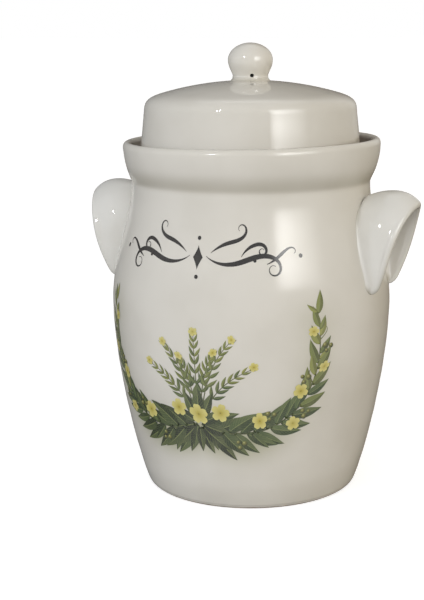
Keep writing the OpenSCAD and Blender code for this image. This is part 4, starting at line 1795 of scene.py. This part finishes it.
@dataclass
class EdgeCard:
    """Grey card round the back of the crock that draws its edges, with angles from the camera's back."""

    azimuth: float
    reach: float = 460.0
    inner: float = 70.0
    ring: float = 100.0
    ring_fade: float = 18.0
    height: float = 1500.0
    bend: float = 60.0
    low: tuple[float, float, float] = (0.5, 0.8, 3.0)
    near_r: tuple[float, float] = (150.0, 360.0)
    end_turn: tuple[float, float] = (60.0, 30.0)
    end_fade: tuple[float, float] = (55.0, 10.0)
    top_fade_h: float = 430.0
    right_turn: tuple[float, float] = (math.radians(12.0), math.radians(42.0))
    right_fade_h: tuple[float, float] = (140.0, 320.0)
    right_share: float = 0.8
    columns: int = 97

    def surface(self) -> Surface:
        """Bend the card up from the floor.

        Returns:
            A turned outline with its fade: out upwards, sooner on the right, and towards its ends, which
            reach further round the front near the foot and close to a ring there.
        """
        a = np.linspace(-np.pi, np.pi, self.columns) + self.azimuth
        flat_r, bend_h = self.reach - self.bend, self.low[2] + self.bend
        outline = chain(line((self.inner, self.low[0]), (self.ring, self.low[1]), 12),
                        line((self.ring, self.low[1]), (flat_r, self.low[2]), 10),
                        arc((flat_r, bend_h), self.bend, self.bend, -90, 0, 8),
                        line((self.reach, bend_h), (self.reach, self.height), 24))
        r, z = outline[:, :1], outline[:, 1:]
        grid = np.stack(np.broadcast_arrays(-r * np.sin(a), r * np.cos(a), z), -1)
        wide = 1.0 - smoothstep(r, *self.near_r)
        turn = np.degrees(np.abs(a - self.azimuth))
        from_turn, over_turn = (plain + more * wide for plain, more in (self.end_turn, self.end_fade))
        ends = smoothstep((turn - from_turn) / over_turn, 0.0, 1.0)
        ends = ends * smoothstep(r, self.ring - self.ring_fade, self.ring)
        right = self.right_share * smoothstep(self.azimuth - a, *self.right_turn)
        up = np.maximum(smoothstep(z, self.top_fade_h, self.height),
                        right * smoothstep(z, *self.right_fade_h))
        return Surface(grid.reshape(-1, 3), grid_quads(len(outline), len(a)),
                       values={"fade": np.maximum(ends, up).ravel()})

    def build(self) -> None:
        """Make the card, cool on the left and warm on the right, so that only reflections see it."""
        material, sheet, where = new_material("studio_card")
        turn = sheet.add("ShaderNodeMapping", {"Vector": where, "Rotation": (0.0, 0.0, -self.azimuth)})
        across = sheet.split(turn.outputs[0])[0]
        reach = self.reach * MM
        tone = sheet.ramp(sheet.rise(across, -reach, reach), (
            (0.0, srgb(136, 138, 142)), (0.5, srgb(118, 115, 112)), (1.0, srgb(126, 114, 98))))
        matt = sheet.add("ShaderNodeBsdfDiffuse", {"Color": tone})
        clear = sheet.add("ShaderNodeBsdfTransparent")
        show(sheet, sheet.add("ShaderNodeMixShader", {
            0: sheet.value("fade"), 1: matt.outputs[0], 2: clear.outputs[0]}).outputs[0])
        piece = self.surface().to_object("studio_card", material)
        piece.visible_camera = piece.visible_diffuse = piece.visible_shadow = False


@dataclass
class Studio:
    """Camera, floor and soft light; lengths in metres."""

    azimuth: float = math.radians(22.0)
    distance: float = 0.875
    eye_h: float = 0.3129
    pitch: float = math.radians(11.96)
    roll: float = math.radians(0.2)
    lens: float = 76.125
    sensor: float = 36.0
    shift_x: float = -0.0653
    clip: tuple[float, float] = (0.01, 200.0)
    floor_r: float = 90.0
    floor_lift: float = 0.75
    light_from: float = math.radians(29.0)
    front_light: float = 2.16
    side_light: float = 0.95
    top_light: float = 0.14

    def camera(self) -> None:
        """Set the camera at the photograph's angle."""
        data = bpy.data.cameras.new("camera")
        data.lens, data.sensor_width, data.sensor_fit = self.lens, self.sensor, "AUTO"
        data.shift_x = self.shift_x
        data.clip_start, data.clip_end = self.clip
        camera = bpy.data.objects.new("camera", data)
        spot = (math.sin(self.azimuth) * self.distance, -math.cos(self.azimuth) * self.distance, self.eye_h)
        camera.matrix_world = (Matrix.Translation(spot) @ Matrix.Rotation(self.azimuth, 4, "Z")
                               @ Matrix.Rotation(math.pi / 2 - self.pitch, 4, "X")
                               @ Matrix.Rotation(-self.roll, 4, "Z"))
        bpy.context.scene.collection.objects.link(camera)
        bpy.context.scene.camera = camera

    def floor(self) -> None:
        """Lay a pale floor that keeps the shadow and shows white to camera, glossy and transmitted rays."""
        r = np.r_[0.0, np.geomspace(0.05, self.floor_r, 30)] / MM
        disc = turned(np.column_stack([r[:-1], 0.0 * r[:-1]]), np.linspace(0, 2 * np.pi, 96, endpoint=False))
        keep = len(disc.points) - 1
        disc = Surface(disc.points[:keep], disc.quads, disc.tris[(disc.tris < keep).all(1)]).flipped()
        material, sheet, where = new_material("studio_floor")
        tone = sheet.mix(sheet.noise(where, 3.0), srgb(187, 186, 185), srgb(191, 190, 189))
        matt = sheet.add("ShaderNodeBsdfDiffuse", {"Color": tone})
        glow = sheet.add("ShaderNodeEmission", {
            "Color": WHITE, "Strength": sheet.math("MULTIPLY", sheet.sees_background(), self.floor_lift)})
        both = sheet.add("ShaderNodeAddShader", {0: matt.outputs[0], 1: glow.outputs[0]})
        show(sheet, both.outputs[0])
        disc.to_object("studio_floor", material)

    def lamp(self, name: str, spot: tuple[float, float, float], aim: float, size: tuple[float, float],
             radiance: float, colour: Colour, fade: Optional[tuple[float, float]] = None) -> None:
        """Hang a soft lamp that faces the axis.

        Args:
            name: Name of the lamp.
            spot: Azimuth from the camera in degrees, distance from the axis and height.
            aim: Height on the axis that it faces.
            size: Width and height.
            radiance: Brightness of its face.
            colour: Its colour.
            fade: Share of its light left at its far side and at its foot. A lamp that fades only shows in
                reflections.
        """
        data = bpy.data.lights.new(name, "AREA")
        data.shape, data.size, data.size_y = "RECTANGLE", size[0], size[1]
        data.energy = radiance * math.pi * size[0] * size[1]
        data.color = colour
        if fade is not None:
            self.fade_lamp(data, fade)
        lamp = bpy.data.objects.new(name, data)
        turn = self.azimuth + math.radians(spot[0])
        dip = math.atan2(spot[2] - aim, spot[1])
        where = (math.sin(turn) * spot[1], -math.cos(turn) * spot[1], spot[2])
        lamp.matrix_world = (Matrix.Translation(where)
                             @ Matrix.Rotation(turn, 4, "Z") @ Matrix.Rotation(math.pi / 2 - dip, 4, "X"))
        lamp.visible_camera, lamp.visible_diffuse = False, fade is None
        bpy.context.scene.collection.objects.link(lamp)

    @staticmethod
    def fade_lamp(data: bpy.types.Light, fade: tuple[float, float]) -> None:
        """Let a lamp's face fade towards its far side, its foot and its head.

        Args:
            data: The lamp.
            fade: Share of its light left at the far side, and at the foot and near side; its head fades out.
        """
        data.use_nodes = True
        sheet = Sheet(data.node_tree)
        across, up, _ = sheet.split(sheet.add("ShaderNodeNewGeometry").outputs["Parametric"])
        wide = sheet.math("MULTIPLY", sheet.span(across, 0.0, 0.16, fade[1], 1.0),
                          sheet.span(across, 0.25, 1.0, 1.0, fade[0]))
        tall = sheet.math("MULTIPLY", sheet.span(up, 0.0, 0.18, fade[1], 1.0),
                          sheet.span(up, 0.55, 1.0, 1.0, 0.0))
        glow = sheet.add("ShaderNodeEmission", {"Strength": sheet.math("MULTIPLY", wide, tall)})
        sheet.feed(sheet.add("ShaderNodeOutputLight").inputs["Surface"], glow.outputs[0])

    def world(self) -> None:
        """Set soft light: bright in front, half as bright all round, cool on the left, warm on the right."""
        world = bpy.data.worlds.new("studio_light")
        bpy.context.scene.world = world
        world.use_nodes = True
        sheet = Sheet(world.node_tree)
        way = sheet.add("ShaderNodeTexCoord").outputs["Generated"]
        turn = sheet.add("ShaderNodeMapping", {"Vector": way, "Rotation": (0.0, 0.0, -self.light_from)})
        across, depth, up = sheet.split(turn.outputs[0])
        tone = sheet.ramp(sheet.math("MULTIPLY_ADD", depth, 0.5, 0.5), (
            (0.0, grey(self.front_light)), (0.5, grey(self.side_light)), (1.0, WHITE)))
        tone = sheet.mix(sheet.rise(up, 0.25, 0.95), tone, grey(self.top_light))
        tint = sheet.ramp(sheet.math("MULTIPLY_ADD", across, 0.5, 0.5), (
            (0.0, (0.96, 1.01, 1.09)), (0.5, (0.99, 1.0, 1.02)), (1.0, (1.06, 0.94, 0.72))))
        tone = sheet.mix(1.0, tone, tint, "MULTIPLY")
        light = sheet.add("ShaderNodeBackground", {"Color": tone, "Strength": 1.0})
        white = sheet.add("ShaderNodeBackground", {"Color": WHITE, "Strength": 1.0})
        both = sheet.add("ShaderNodeMixShader", {
            0: sheet.sees_background(), 1: light.outputs[0], 2: white.outputs[0]})
        sheet.feed(sheet.add("ShaderNodeOutputWorld").inputs["Surface"], both.outputs[0])

    def build(self) -> None:
        """Set up the whole studio."""
        bpy.context.scene.view_settings.view_transform = "Standard"
        self.camera()
        self.floor()
        EdgeCard(self.azimuth).build()
        self.lamp("softbox_right", spot=(40.0, 0.80, 0.57), aim=0.45, size=(0.59, 0.60), radiance=7.4,
                  colour=(1.0, 1.0, 0.99), fade=(0.06, 0.28))
        self.lamp("lamp_left", spot=(-35.5, 1.13, 0.88), aim=0.22, size=(0.10, 0.10), radiance=75.0,
                  colour=(1.0, 0.99, 0.97))
        self.lamp("overhead_back", spot=(180.0, 0.70, 1.40), aim=0.20, size=(0.9, 0.5), radiance=0.9,
                  colour=(0.99, 0.99, 1.0))
        self.world()


def main() -> None:
    """Build every sub-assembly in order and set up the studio."""
    logging.basicConfig(level=logging.INFO, format="%(name)s: %(message)s")
    effects = Effects()
    crock = Crock()
    garland = Garland(crock)
    crock.build(effects, garland.wash)
    for side in Side:
        HoodHandle(side, crock).build(effects)
    lid = Lid()
    lid.build(effects)
    Knob(lid).build(effects)
    for side in Side:
        WeightStone(side).build(effects)
    garland.build(effects)
    Flourish(garland).build(effects)
    Studio().build()
    LOG.info("boxes written")


if __name__ == "__main__":
    main()
